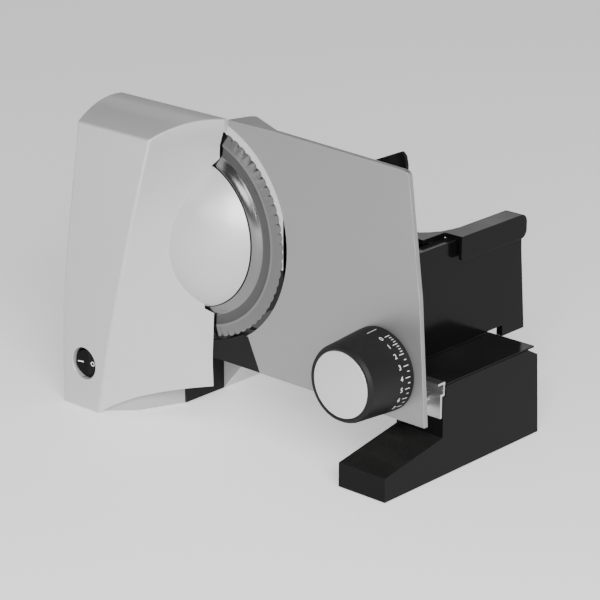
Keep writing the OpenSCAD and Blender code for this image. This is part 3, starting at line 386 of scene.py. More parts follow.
def grey_plastic():
    return surface("grey_plastic", grey(0.34), 0.5, bump=0.2, wear_and_highlight=0.2)


def white_plastic():
    return surface("white_plastic", grey(0.72, 0.02), 0.45, bump=0.1, wear_and_highlight=0.1)


def sintered_bronze():
    return surface("sintered_bronze", (0.55, 0.36, 0.16, 1.0), 0.45, metal=1.0, bump=0.3, wear_and_highlight=0.2)


def wound_copper():
    return surface("wound_copper", (0.62, 0.26, 0.10, 1.0), 0.35, metal=1.0, pattern="lines", bump=0.5,
                   pattern_values={"Stretch": (4.0, 4.0, 30.0), "Lines": 90.0, "Depth": 0.3}, wear_and_highlight=0.0)


def core_steel():
    return surface("core_steel", grey(0.20), 0.5, metal=0.9, pattern="lines", bump=0.4,
                   pattern_values={"Stretch": (1.0, 1.0, 60.0), "Lines": 50.0, "Depth": 0.3}, wear_and_highlight=0.2)


SILVER = silver_moulding()
PLATE_METAL = anodised_plate()
RAIL_METAL = rail_metal()
BLADE_STEEL = blade_steel()
TURNED_STEEL = turned_steel()
GLOSS = black_gloss()
SATIN = black_satin()
DIAL_BLACK = dial_black()
DIAL_METAL = dial_metal()
PRINT = white_print()
RUBBER = foot_rubber()
GREY = grey_plastic()
WHITE = white_plastic()
BRONZE = sintered_bronze()
COPPER = wound_copper()
CORE = core_steel()


# Mesh helpers

EDGE_SEGMENTS = 3
ARC_STEPS = 4
SIDES, DIAL_SIDES, COVER_SIDES, RECESS_SIDES = 96, 160, 200, 240


def to_frame(bm):
    """Millimetres from the datum become metres in the frame."""
    bmesh.ops.transform(bm, matrix=Matrix.Translation(DATUM) @ Matrix.Scale(MM, 4), verts=bm.verts)


def settle(obj):
    """Turns the modifiers' result into the object's plain mesh."""
    graph = bpy.context.evaluated_depsgraph_get()
    graph.update()
    mesh = bpy.data.meshes.new_from_object(obj.evaluated_get(graph))
    obj.modifiers.clear()
    obj.data = mesh


def new_object(name, data):
    obj = bpy.data.objects.new(name, data)
    bpy.context.scene.collection.objects.link(obj)
    return obj


def as_object(name, bm, smooth_under=30):
    """A scene object from a mesh in metres, smooth except over corners of more degrees than given."""
    mesh = bpy.data.meshes.new(name)
    bm.to_mesh(mesh)
    bm.free()
    for face in mesh.polygons:
        face.use_smooth = True
    mesh.set_sharp_from_angle(angle=math.radians(smooth_under))
    return new_object(name, mesh)


def even_shading(obj):
    """Large flat faces keep their own shading beside rounded edges."""
    weighted = obj.modifiers.new("even", "WEIGHTED_NORMAL")
    weighted.keep_sharp = True
    settle(obj)


def fit(obj, body, material, replaced=()):
    """Gives a piece its finish, the body it moves with and the nodes it stands for."""
    obj.data.materials.clear()
    obj.data.materials.append(material)
    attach(obj, body)
    if replaced:
        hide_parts(*replaced)
    return obj


def rounded_edges(bm, width, least=32):
    """Rounds the corners sharper than least degrees, and marks the new faces as rim."""
    rim = bm.faces.layers.float.get("rim") or bm.faces.layers.float.new("rim")
    sharp = math.radians(least)
    edges = [e for e in bm.edges if len(e.link_faces) == 2 and e.calc_face_angle(0) > sharp]
    made = bmesh.ops.bevel(bm, geom=edges, offset=width * MM, offset_type="OFFSET", profile=0.5,
                           segments=EDGE_SEGMENTS, affect="EDGES", clamp_overlap=True)
    for face in made["faces"]:
        face[rim] = 1.0


def clean_copy(node):
    """A node's mesh with its flat faces whole again."""
    bm = bmesh.new()
    bm.from_mesh(frame["nodes"][node].data)
    bmesh.ops.remove_doubles(bm, verts=bm.verts, dist=WELD_M)
    bmesh.ops.dissolve_limit(bm, angle_limit=math.radians(FLAT_UNDER), use_dissolve_boundaries=False,
                             verts=bm.verts, edges=bm.edges)
    return bm


def body_of(node):
    for body, members in frame["record"]["behaviour"]["bodies"].items():
        if node in members:
            return body
    return "root"


def softened(node, material, width):
    """A node's own shape with rounded edges and its finish."""
    bm = clean_copy(node)
    rounded_edges(bm, width)
    obj = as_object("soft_" + node, bm, smooth_under=40)
    even_shading(obj)
    return fit(obj, body_of(node), material, [node])


def profile_ring(bm, profile, centre, angle):
    """The points of a profile of (radius, y), turned by an angle round an axis along Y."""
    across, up = math.cos(angle), math.sin(angle)
    return [bm.verts.new((centre.x + r * across, y, centre.z + r * up)) for r, y in profile]


def skin(bm, rings):
    """Faces between each ring of points and the next, and from the last back to the first."""
    count = len(rings[0])
    faces = []
    for here, there in zip(rings, rings[1:] + rings[:1]):
        for i in range(count):
            j = (i + 1) % count
            faces.append(bm.faces.new((here[i], here[j], there[j], there[i])))
    return faces


def lathe(profile, centre, sides):
    """A closed ring of faces round an axis along Y. The profile is a closed list of (radius, y)."""
    bm = bmesh.new()
    skin(bm, [profile_ring(bm, profile, centre, 2 * math.pi * k / sides) for k in range(sides)])
    bmesh.ops.remove_doubles(bm, verts=bm.verts, dist=WELD_MM)
    bmesh.ops.recalc_face_normals(bm, faces=bm.faces)
    return bm


def arc(centre_r, centre_y, radius, start, end):
    """Points of an arc in a profile, angles in degrees from the outward direction towards +Y."""
    points = []
    for k in range(ARC_STEPS + 1):
        angle = math.radians(start + (end - start) * k / ARC_STEPS)
        points.append((centre_r + radius * math.cos(angle), centre_y + radius * math.sin(angle)))
    return points


def joined(obj, tool, operation):
    """Cuts a closed mesh with another one, or joins the two."""
    step = obj.modifiers.new("step", "BOOLEAN")
    step.operation = operation
    step.solver = "EXACT"
    step.object = tool
    settle(obj)
    bpy.data.objects.remove(tool)


def solid(bm, name="tool"):
    """An object of a mesh that was drawn in millimetres."""
    to_frame(bm)
    return as_object(name, bm)


def gathered(parts):
    """One mesh of several, which are used up."""
    whole = bmesh.new()
    for part in parts:
        mesh = bpy.data.meshes.new("part")
        part.to_mesh(mesh)
        part.free()
        whole.from_mesh(mesh)
        bpy.data.meshes.remove(mesh)
    return whole


# Housing: rings of one outline at rising heights, closed by the arched roof

HOUSE_H = 238.0
HOUSE_LEFT = 93.0
HOUSE_FRONT = 60.0
ROOF_R = 100.0
ROOF_PEAK = 19.0
WALL = 2.5
FOOT = 1.0
# Each pair is a share of the height, and how far a corner has moved by then
LEFT_SHARES = [(0, 1), (0.195, 0.986), (0.361, 0.967), (0.513, 0.922), (0.966, 0.735), (1.01, 0.717)]
FACE_FOOT_X, FACE_TOP_X = -54.3, 8.6
FACE_SHARES = [(0, 0), (0.24, 0.2), (0.403, 0.35), (0.555, 0.506), (0.765, 0.725), (1.01, 1.01)]
BACK_FOOT_X, BACK_TOP_X = 12.6, 26.4
BACK_SHARES = [(0, 0), (0.185, -0.1), (0.353, 0.06), (0.874, 0.61), (0.916, 0.645), (0.977, 1), (1.01, 1)]
BACK_LEFT_SHARES = [(0, 1), (0.65, 1), (0.84, 0.965), (1.01, 0.91)]
# Each pair is a share of the way along the slanted face's foot, and of the arch's height
ARCH_SHARES = [(-0.05, -1), (0, 0), (0.165, 0.346), (0.342, 0.617), (0.551, 0.8), (0.772, 0.923), (1.02, 1)]
ARCH_RISE = 22.1
ARCH_DEPTH = 14.0
CORNER_R = 2.0
DOME_R = 58.9
DOME_RISE = 27.5
DOME_BACK = -3.6
SWITCH_X, SWITCH_Z, SWITCH_R = -68.5, 38.0, 12.6
SWITCH_AT = Vector((SWITCH_X, 0, SWITCH_Z))
RIDGE_R = BLADE_R - 25.1
RECESS_Y, RECESS_R, RECESS_FLARE = -5.8, RIDGE_R + 0.4, 0.9
LEVELS, INNER_LEVELS, ROUND_STEPS = 48, 24, 5
CORNER_STEPS, SIDE_STEPS, CAP_STEPS = 6, 20, 44
TAPS, TAP_WEIGHT = 4, 1.05
REACH, ARCH_REACH = 0.05, 0.08
LEFT_FROM = 0.05
ARCH_FROM, ARCH_SPAN, ARCH_STEPS = -0.05, 1.07, 40
ROOF_ROUND = 1.2
OVERRUN = 1.0
SOCKET_WALL, SOCKET_DEPTH = 2, 9.25
MOUTH_ROUND, MOUTH_OVERRUN, MOUTH_DEPTH = 0.8, 1.0, 15
# Radius, front and back of the shaft's boss, its bore, and the well behind the cover
BOSS = (11, -29.8, -15.5)
BOSS_BORE = (9.05, -25.5, -10)
COVER_WELL = (DOME_R - 2.4, -5, 2)
HOUSE_CREASE = 17


def straight(table, t):
    """The table's value at t, in straight runs."""
    for (t0, v0), (t1, v1) in zip(table, table[1:]):
        if t <= t1:
            return v0 + (v1 - v0) * (t - t0) / (t1 - t0)
    return table[-1][1]


def smooth(table, t, reach=REACH):
    """The table read with its corners rounded over a short reach."""
    taps = [k / TAPS for k in range(-TAPS, TAPS + 1)]
    weights = [TAP_WEIGHT - abs(tap) for tap in taps]
    return sum(w * straight(table, t + tap * reach) for w, tap in zip(weights, taps)) / sum(weights)


def house_quad(z):
    """The housing's four corners at a height, from the front left one round to the back left one."""
    t = z / HOUSE_H
    front_left = -HOUSE_LEFT * smooth(LEFT_SHARES, max(t, LEFT_FROM))
    front_right = FACE_FOOT_X + (FACE_TOP_X - FACE_FOOT_X) * smooth(FACE_SHARES, t)
    back_right = BACK_FOOT_X + (BACK_TOP_X - BACK_FOOT_X) * straight(BACK_SHARES, t)
    back_left = -HOUSE_LEFT * smooth(BACK_LEFT_SHARES, t)
    return [Vector((front_left, -HOUSE_FRONT)), Vector((front_right, -HOUSE_FRONT)),
            Vector((back_right, 0)), Vector((back_left, 0))]


def inset_quad(quad, insets):
    """The corners after each side has moved in by its own inset."""
    lines = []
    for k in range(4):
        along = (quad[(k + 1) % 4] - quad[k]).normalized()
        lines.append((quad[k] + Vector((-along.y, along.x)) * insets[k], along))
    corners = []
    for k in range(4):
        (p, u), (q, v) = lines[k - 1], lines[k]
        cross = u.x * v.y - u.y * v.x
        gap = q - p
        corners.append(p + u * ((gap.x * v.y - gap.y * v.x) / cross))
    return corners


def chain(corner, front, back):
    """From the front wall round a corner and along a side to its back end."""
    a, b = (front - corner).normalized() * CORNER_R, (back - corner).normalized() * CORNER_R
    points = []
    for k in range(CORNER_STEPS + 1):
        t = k / CORNER_STEPS
        points.append((corner + a) * (1 - t) ** 2 + corner * 2 * t * (1 - t) + (corner + b) * t ** 2)
    start = corner + b
    points += [start + (back - start) * k / SIDE_STEPS for k in range(1, SIDE_STEPS + 1)]
    return points


def house_outline(z, inset, back):
    quad = inset_quad(house_quad(z), [inset, inset, back, inset])
    return chain(quad[0], quad[1], quad[3]), chain(quad[1], quad[0], quad[2])


def roof_at(y, drop=0.0):
    """The height of the arched roof at a depth."""
    low = HOUSE_H - math.sqrt(ROOF_R ** 2 - ROOF_PEAK ** 2)
    return low + math.sqrt((ROOF_R - drop) ** 2 - (y + ROOF_PEAK) ** 2)


def house_solid(inset, back, foot, round_r, levels):
    """The housing's outer form, or with an inset the room inside it."""
    bm = bmesh.new()
    steps = [(k / levels, 0.0) for k in range(levels + 1)]
    if round_r:
        steps += [(1.0, math.radians(90) * k / ROUND_STEPS) for k in range(1, ROUND_STEPS + 1)]
    rings = []
    for share, turn in steps:
        guess = foot + share * (HOUSE_H - foot)
        extra = round_r * (1 - math.cos(turn))
        left, right = house_outline(guess, inset + extra, back)
        ring = []
        for side in (left, right):
            row = []
            for p in side:
                top = roof_at(min(p.y, 0.0), inset) - round_r
                z = foot + share * (top - foot) + round_r * math.sin(turn)
                row.append(bm.verts.new((p.x, p.y, z)))
            ring.append(row)
        rings.append(ring)
    count = len(rings[0][0])
    for (l0, r0), (l1, r1) in zip(rings, rings[1:]):
        loop0, loop1 = r0 + l0[::-1], r1 + l1[::-1]
        for i in range(2 * count):
            j = (i + 1) % (2 * count)
            bm.faces.new((loop0[i], loop0[j], loop1[j], loop1[i]))
    for (left, right), order in ((rings[-1], 1), (rings[0], -1)):
        for i in range(count - 1):
            bm.faces.new((left[i], right[i], right[i + 1], left[i + 1])[::order])
    bmesh.ops.recalc_face_normals(bm, faces=bm.faces)
    return bm


def cap_solid(drop):
    """The round cover in front of the blade, as a cap of a ball."""
    ball = (DOME_R ** 2 + DOME_RISE ** 2) / (2 * DOME_RISE)
    centre = DOME_BACK - DOME_RISE + ball
    radius = ball - drop
    rim = math.acos((centre - DOME_BACK) / radius)
    turns = [rim * k / CAP_STEPS for k in range(CAP_STEPS + 1)]
    profile = [(radius * math.sin(turn), centre - radius * math.cos(turn)) for turn in turns]
    return lathe(profile + [(0.0, DOME_BACK)], BLADE_AT, COVER_SIDES)


def rod(centre, radius, front, back, sides=SIDES):
    """A round bar along Y."""
    return lathe([(0, front), (radius, front), (radius, back), (0, back)], centre, sides)


def switch_mouth():
    """The round opening for the switch, with a rounded edge."""
    front = -HOUSE_FRONT
    wide = SWITCH_R + 2 * MOUTH_ROUND
    profile = [(0, front - MOUTH_OVERRUN), (wide, front - MOUTH_OVERRUN)]
    profile += [(SWITCH_R + MOUTH_ROUND - r, y) for r, y in arc(0, front + MOUTH_ROUND, MOUTH_ROUND, -90, 0)]
    profile += [(SWITCH_R, front + MOUTH_DEPTH), (0, front + MOUTH_DEPTH)]
    return lathe(profile, SWITCH_AT, SIDES)


def recess():
    """The hollow that the blade's pressed ring turns in, opening towards the blade."""
    wide = RECESS_R + RECESS_FLARE * (OVERRUN - RECESS_Y)
    profile = [(0, RECESS_Y), (RECESS_R, RECESS_Y), (wide, OVERRUN), (0, OVERRUN)]
    return lathe(profile, BLADE_AT, RECESS_SIDES)


def arch_solid():
    """The arched cut at the foot of the slanted face."""
    start, end = Vector((FACE_FOOT_X, -HOUSE_FRONT)), Vector((BACK_FOOT_X, 0))
    run = end - start
    across = Vector((run.y, -run.x)).normalized()
    steps = [ARCH_FROM + ARCH_SPAN * k / ARCH_STEPS for k in range(ARCH_STEPS + 1)]
    curve = [(s, FOOT + ARCH_RISE * smooth(ARCH_SHARES, s, ARCH_REACH)) for s in steps]
    outline = curve + [(curve[-1][0], -2 * ARCH_RISE), (curve[0][0], -2 * ARCH_RISE)]
    bm = bmesh.new()
    sides = []
    for depth in (-ARCH_DEPTH, ARCH_DEPTH):
        ring = []
        for s, z in outline:
            spot = start + run * s + across * depth
            ring.append(bm.verts.new((spot.x, spot.y, z)))
        sides.append(ring)
    bm.faces.new(sides[0])
    bm.faces.new(sides[1][::-1])
    for i in range(len(outline)):
        j = (i + 1) % len(outline)
        bm.faces.new((sides[0][i], sides[0][j], sides[1][j], sides[1][i]))
    bmesh.ops.recalc_face_normals(bm, faces=bm.faces)
    return bm


def housing():
    """The silver moulding with its cover, open behind and below."""
    obj = solid(house_solid(0.0, 0.0, FOOT, ROOF_ROUND, LEVELS), "housing")
    socket = (SWITCH_R + SOCKET_WALL, -HOUSE_FRONT + WALL / 2, -HOUSE_FRONT + SOCKET_DEPTH)
    steps = [
        ("DIFFERENCE", recess()),
        ("UNION", cap_solid(0.0)),
        ("DIFFERENCE", house_solid(WALL, -OVERRUN, -OVERRUN, 0.0, INNER_LEVELS)),
        ("DIFFERENCE", cap_solid(WALL)),
        ("UNION", rod(SWITCH_AT, *socket)),
        ("UNION", rod(BLADE_AT, *BOSS)),
        ("DIFFERENCE", rod(BLADE_AT, *COVER_WELL, COVER_SIDES)),
        ("DIFFERENCE", rod(BLADE_AT, *BOSS_BORE)),
        ("DIFFERENCE", switch_mouth()),
        ("DIFFERENCE", arch_solid())]
    for operation, tool in steps:
        joined(obj, solid(tool), operation)
    obj.data.set_sharp_from_angle(angle=math.radians(HOUSE_CREASE))
    even_shading(obj)
    return fit(obj, "root", SILVER, ["housing_shell"])


# Blade: a disc with a pressed ring behind the cover, a flat ring and a scalloped bevel

EDGE_TEETH = 72
TOOTH_STEPS = 10
BEVEL_STEPS = 8
RING_TONE, BEVEL_TONE, BACK_TONE = 0.5, 0.8, 2.2
EDGE_DEPTH, EDGE_CURVE, EDGE_BACK = 1.2, 0.8, 3.8
BEVEL_FRONT, BEVEL_DROP, BEVEL_CURVE = 1.5, 1.85, 1.15
NOTCH_DROP, NOTCH_CURVE = 0.14, 6
SHAFT_HOLE = 6.3
HUB_R, RING_IN, RING_OUT = BLADE_R - 27.8, BLADE_R - 18, BLADE_R - 10
BEVEL_R = RING_OUT + 0.3
RING_MARGIN = 0.5
# Radius and depth of the blade's front from the shaft outward, and of its back from the edge inward
FRONT_ZONES = [(SHAFT_HOLE, 0.4), (HUB_R - 3, 0.4), (HUB_R, 0.4), (RIDGE_R - 0.5, -2.5),
               (RIDGE_R - 0.15, -2.82), (RIDGE_R + 0.3, -2.75), (RIDGE_R + 2.9, -1.3),
               (RING_IN - 1.5, 0.35), (RING_IN - 0.6, 1.2), (RING_IN, 1.5), (RING_IN + 0.7, 1.6),
               (RING_OUT - 0.9, 1.6), (RING_OUT - 0.3, 1.42), (BEVEL_R, BEVEL_FRONT)]
BACK_ZONES = [(RING_OUT, 3.5), (RING_IN, 3.4), (RIDGE_R + 0.6, -0.6), (RIDGE_R + 0.1, -0.6),
              (HUB_R + 0.8, 2.0), (SHAFT_HOLE, 2.0)]


def zone_tone(row):
    """The flat ring is ground duller than the pressed ring and the bevel, and the back is bright."""
    if row >= len(FRONT_ZONES) + BEVEL_STEPS:
        return BACK_TONE
    if row >= len(FRONT_ZONES):
        return BEVEL_TONE
    radius = FRONT_ZONES[row][0]
    return RING_TONE if RING_IN <= radius < RING_OUT - RING_MARGIN else 1.0


def blade_profile(notch):
    """Front, bevel, edge and back, where the edge is cut by a share of a notch's depth."""
    edge = BLADE_R - EDGE_DEPTH * notch
    profile = list(FRONT_ZONES)
    for j in range(1, BEVEL_STEPS + 1):
        t = j / BEVEL_STEPS
        depth = BEVEL_FRONT + BEVEL_DROP * t ** BEVEL_CURVE + NOTCH_DROP * notch * t ** NOTCH_CURVE
        profile.append((BEVEL_R + (edge - BEVEL_R) * t, depth))
    return profile + [(edge, EDGE_BACK)] + BACK_ZONES


def blade():
    bm = bmesh.new()
    rings = []
    steps = EDGE_TEETH * TOOTH_STEPS
    for k in range(steps):
        angle = 2 * math.pi * k / steps
        notch = 1 - abs(math.sin(EDGE_TEETH * angle / 2)) ** EDGE_CURVE
        rings.append(profile_ring(bm, blade_profile(notch), BLADE_AT, angle))
    zone = bm.faces.layers.float.new("zone")
    for k, face in enumerate(skin(bm, rings)):
        face[zone] = zone_tone(k % len(rings[0]))
    bmesh.ops.recalc_face_normals(bm, faces=bm.faces)
    to_frame(bm)
    obj = as_object("slicing_blade", bm, smooth_under=50)
    return fit(obj, "blade_disc", BLADE_STEEL, ["blade"])


# Dial: a tapered skirt with a metal disc, numbers and rows of marks

FRONT_R = 29.2
DISC_R = 25.2
SKIRT_FROM, SKIRT_TO = KNOB_FRONT + 3.2, KNOB_BACK - 3.0
SKIRT_STOPS = (KNOB_FRONT + 4.5, -20)
SKIRT_WALL, SKIRT_CHAMFER = 2.6, 0.4
SEAT_DEPTH, SEAT_LIP, SEAT_PLAY = 1.6, 0.3, 0.05
HOLLOW_DEPTH, STEM_R = 6.1, 8
# Rounds of the front edge: centre's radius and depth, radius, start and end in degrees
FRONT_ROUNDS = [(DISC_R + 0.65, 0.5, 0.5, -180, -90), (FRONT_R - 2.2, 1.0, 1.0, -90, -45),
                (FRONT_R - 1.2, 3.4, 1.2, -45, -4)]
DISC_DEPTH, DISC_ROUND, DISC_GAP = 0.25, 0.4, 0.1


def skirt_r(y):
    """The radius of the tapered skirt at a depth."""
    return FRONT_R + (KNOB_R - FRONT_R) * (y - SKIRT_FROM) / (SKIRT_TO - SKIRT_FROM)


def dial_body():
    """The black knob, with a seat for the disc in front and a hollow behind."""
    front, back, inner = KNOB_FRONT, KNOB_BACK, KNOB_R - SKIRT_WALL
    seat = front + SEAT_DEPTH
    profile = [(0, seat), (DISC_R + SEAT_PLAY, seat), (DISC_R + SEAT_PLAY, front + SEAT_LIP)]
    for centre_r, depth, radius, start, end in FRONT_ROUNDS:
        profile += arc(centre_r, front + depth, radius, start, end)
    profile += [(skirt_r(y), y) for y in SKIRT_STOPS] + [(KNOB_R, SKIRT_TO)]
    profile += [(KNOB_R, back - SKIRT_CHAMFER), (KNOB_R - SKIRT_CHAMFER, back), (inner, back)]
    profile += [(inner, SKIRT_TO), (FRONT_R - SKIRT_WALL, front + HOLLOW_DEPTH)]
    profile += [(STEM_R, front + HOLLOW_DEPTH), (STEM_R, back), (0, back)]
    bm = lathe(profile, KNOB_AT, DIAL_SIDES)
    to_frame(bm)
    obj = as_object("dial_skirt", bm, smooth_under=35)
    return fit(obj, "knob", DIAL_BLACK, ["knob_body"])


def dial_disc():
    face, seat = KNOB_FRONT + DISC_DEPTH, KNOB_FRONT + SEAT_DEPTH
    rim = DISC_R - DISC_GAP
    profile = [(0, face), (rim - DISC_ROUND, face)]
    profile += arc(rim - DISC_ROUND, face + DISC_ROUND, DISC_ROUND, -90, 0)
    profile += [(rim, seat), (0, seat)]
    bm = lathe(profile, KNOB_AT, DIAL_SIDES)
    to_frame(bm)
    obj = as_object("dial_disc", bm, smooth_under=35)
    return fit(obj, "knob", DIAL_METAL, ["knob_disc"])


DIGIT_FIRST = 68.5
DIGIT_STEP = -15.6
DIGIT_Y = -12.9
DIGIT_SIZE = 5.4
DIGITS = 8
DIGIT_RESOLUTION, DIGIT_THICK = 6, 0.5
# A number is cut into strips this high, so that it can bend
STRIP, STRIPS_EACH_WAY, CUT_SNAP = 0.4, 7, 0.0001
PROUD, SUNK = 0.04, 0.15


def dial_digit(number):
    """One number, bent round the skirt, with its top towards nought."""
    curve = bpy.data.curves.new("digit", "FONT")
    curve.body = str(number)
    curve.size = DIGIT_SIZE
    curve.align_x = "CENTER"
    curve.align_y = "CENTER"
    curve.extrude = DIGIT_THICK
    curve.resolution_u = DIGIT_RESOLUTION
    source = new_object("digit", curve)
    graph = bpy.context.evaluated_depsgraph_get()
    mesh = bpy.data.meshes.new_from_object(source.evaluated_get(graph))
    bpy.data.objects.remove(source)
    bm = bmesh.new()
    bm.from_mesh(mesh)
    bmesh.ops.remove_doubles(bm, verts=bm.verts, dist=WELD_DIGIT)
    for strip in range(-STRIPS_EACH_WAY, STRIPS_EACH_WAY + 1):
        everything = bm.verts[:] + bm.edges[:] + bm.faces[:]
        bmesh.ops.bisect_plane(bm, geom=everything, dist=CUT_SNAP, plane_co=(0, strip * STRIP, 0),
                               plane_no=(0, 1, 0))
    middle_turn = math.radians(DIGIT_FIRST + DIGIT_STEP * number)
    for v in bm.verts:
        y = DIGIT_Y + v.co.x
        r = skirt_r(y) + (PROUD if v.co.z > 0 else -SUNK)
        turn = middle_turn + v.co.y / skirt_r(DIGIT_Y)
        v.co = Vector((KNOB_AT.x + r * math.cos(turn), y, KNOB_AT.z + r * math.sin(turn)))
    bmesh.ops.recalc_face_normals(bm, faces=bm.faces)
    return bm


def dial_numbers():
    whole = gathered([dial_digit(number) for number in range(DIGITS)])
    to_frame(whole)
    obj = as_object("dial_numbers", whole, smooth_under=20)
    return fit(obj, "knob", PRINT)


def geometry_tree(name, inputs):
    """A tree with its geometry output and the named inputs."""
    tree = bpy.data.node_groups.new(name, "GeometryNodeTree")
    tree.interface.new_socket("Geometry", in_out="OUTPUT", socket_type="NodeSocketGeometry")
    for title, kind in inputs:
        tree.interface.new_socket(title, in_out="INPUT", socket_type=kind)
    return tree, tree.nodes.new("NodeGroupInput"), tree.nodes.new("NodeGroupOutput")


def finish_tree(tree, outside, geometry, material_socket):
    """Ends a tree: real geometry, with its material."""
    real = tree.nodes.new("GeometryNodeRealizeInstances")
    tree.links.new(geometry, real.inputs[0])
    coat = tree.nodes.new("GeometryNodeSetMaterial")
    tree.links.new(real.outputs[0], coat.inputs["Geometry"])
    tree.links.new(material_socket, coat.inputs["Material"])
    tree.links.new(coat.outputs[0], outside.inputs[0])


def marks_tree():
    """Bars of one size round a taper, each standing a little proud."""
    tree, inside, outside = geometry_tree("dial_marks", [
        ("Count", "NodeSocketInt"), ("First", "NodeSocketFloat"), ("Step", "NodeSocketFloat"),
        ("Radius", "NodeSocketFloat"), ("Taper", "NodeSocketFloat"), ("Size", "NodeSocketVector"),
        ("Centre", "NodeSocketVector"), ("Material", "NodeSocketMaterial")])
    row = put(tree, "GeometryNodeMeshLine")
    tree.links.new(inside.outputs["Count"], row.inputs["Count"])
    index = put(tree, "GeometryNodeInputIndex").outputs[0]
    turn = calc(tree, "ADD", calc(tree, "MULTIPLY", index, inside.outputs["Step"]), inside.outputs["First"])
    spot = put(tree, "ShaderNodeCombineXYZ")
    radius = inside.outputs["Radius"]
    tree.links.new(calc(tree, "MULTIPLY", calc(tree, "COSINE", turn), radius), spot.inputs["X"])
    tree.links.new(calc(tree, "MULTIPLY", calc(tree, "SINE", turn), radius), spot.inputs["Z"])
    moved = put(tree, "GeometryNodeSetPosition")
    tree.links.new(row.outputs[0], moved.inputs["Geometry"])
    tree.links.new(spot.outputs[0], moved.inputs["Position"])
    bar = put(tree, "GeometryNodeMeshCube")
    tree.links.new(inside.outputs["Size"], bar.inputs["Size"])
    lean = put(tree, "ShaderNodeCombineXYZ")
    tree.links.new(inside.outputs["Taper"], lean.inputs["Z"])
    leaning = put(tree, "GeometryNodeTransform")
    tree.links.new(bar.outputs[0], leaning.inputs["Geometry"])
    tree.links.new(lean.outputs[0], leaning.inputs["Rotation"])
    facing = put(tree, "ShaderNodeCombineXYZ")
    tree.links.new(calc(tree, "MULTIPLY", turn, -1.0), facing.inputs["Y"])
    copies = put(tree, "GeometryNodeInstanceOnPoints")
    tree.links.new(moved.outputs[0], copies.inputs["Points"])
    tree.links.new(leaning.outputs[0], copies.inputs["Instance"])
    tree.links.new(facing.outputs[0], copies.inputs["Rotation"])
    shifted = put(tree, "GeometryNodeTransform")
    tree.links.new(copies.outputs[0], shifted.inputs["Geometry"])
    tree.links.new(inside.outputs["Centre"], shifted.inputs["Translation"])
    finish_tree(tree, outside, shifted.outputs[0], inside.outputs["Material"])
    return tree


def grown(name, tree, values):
    """An object whose mesh a geometry tree makes from named values."""
    obj = new_object(name, bpy.data.meshes.new(name))
    maker = obj.modifiers.new("maker", "NODES")
    maker.node_group = tree
    for item in tree.interface.items_tree:
        if item.in_out == "INPUT" and item.name in values:
            maker[item.identifier] = values[item.name]
    settle(obj)
    return obj


MARK_W = 0.5
MARK_T = 0.3
LONG_MARK = 4.6
SHORT_MARK = 2.2
MARK_END = -4.6
# Name, count, turn of the first in degrees, length and back end of each row of marks
MARK_ROWS = [("long_marks", DIGITS, DIGIT_FIRST, LONG_MARK, MARK_END),
             ("half_marks", DIGITS - 1, DIGIT_FIRST + DIGIT_STEP / 2, SHORT_MARK, MARK_END),
             ("quarter_marks", 2, DIGIT_FIRST + DIGIT_STEP / 4, SHORT_MARK, MARK_END),
             ("three_quarter_marks", 2, DIGIT_FIRST + DIGIT_STEP * 0.75, SHORT_MARK, MARK_END),
             ("rest_mark", 1, 89.5, 10.0, -5.6)]


def dial_marks():
    tree = marks_tree()
    taper = math.atan((KNOB_R - FRONT_R) / (SKIRT_TO - SKIRT_FROM))
    for name, count, first, length, end in MARK_ROWS:
        y = end - length / 2
        obj = grown(name, tree, {
            "Count": count, "First": math.radians(first), "Step": math.radians(DIGIT_STEP),
            "Radius": (skirt_r(y) - MARK_T / 2 + PROUD) * MM, "Taper": -taper,
            "Size": (MARK_T * MM, length * MM, MARK_W * MM),
            "Centre": DATUM + Vector((KNOB_AT.x, y, KNOB_AT.z)) * MM, "Material": PRINT})
        fit(obj, "knob", PRINT)


# Rocker marks: a bar and a ring, on the two halves that slope up from the rocker's middle

ROCKER_TILT, PIVOT_Y = 8, -51.5
ROCKER_MIDDLE, ROCKER_RISE, ROCKER_REACH = 5.4, 1.2, 10
MARK_OUT, MARK_SUNK, MARK_THICK = 5.8, 0.05, 0.3
BAR_LONG, BAR_WIDE = 5.0, 0.9
RING_MARK_IN, RING_MARK_OUT, RING_MARK_SIDES = 1.25, 2.0, 32


def bar_mark():
    bm = bmesh.new()
    bmesh.ops.create_cube(bm, size=1.0)
    size = Matrix.Diagonal((BAR_LONG, MARK_THICK, BAR_WIDE, 1.0))
    bmesh.ops.transform(bm, matrix=size, verts=bm.verts)
    return bm


def ring_mark():
    half = MARK_THICK / 2
    profile = [(RING_MARK_IN, -half), (RING_MARK_OUT, -half), (RING_MARK_OUT, half), (RING_MARK_IN, half)]
    return lathe(profile, Vector((0, 0, 0)), RING_MARK_SIDES)


def rocker_marks():
    pivot = Matrix.Translation((SWITCH_X, PIVOT_Y, SWITCH_Z))
    tilted = pivot @ Matrix.Rotation(math.radians(ROCKER_TILT), 4, "Z")
    slope = math.atan2(ROCKER_RISE, ROCKER_REACH)
    height = ROCKER_MIDDLE + ROCKER_RISE * MARK_OUT / ROCKER_REACH - MARK_SUNK
    marks = [bar_mark(), ring_mark()]
    for side, mark in zip((-1, 1), marks):
        spot = Matrix.Translation((side * MARK_OUT, -height, 0)) @ Matrix.Rotation(-side * slope, 4, "Z")
        bmesh.ops.transform(mark, matrix=tilted @ spot, verts=mark.verts)
    whole = gathered(marks)
    to_frame(whole)
    obj = as_object("rocker_marks", whole)
    return fit(obj, "rocker", PRINT)


# Pusher spikes: a grid of small cones

SPIKE_COLUMNS, SPIKE_ROWS, SPIKE_R = 5, 4, 1.6
SPIKE_SIDES, TIP_SHARE = 16, 0.12


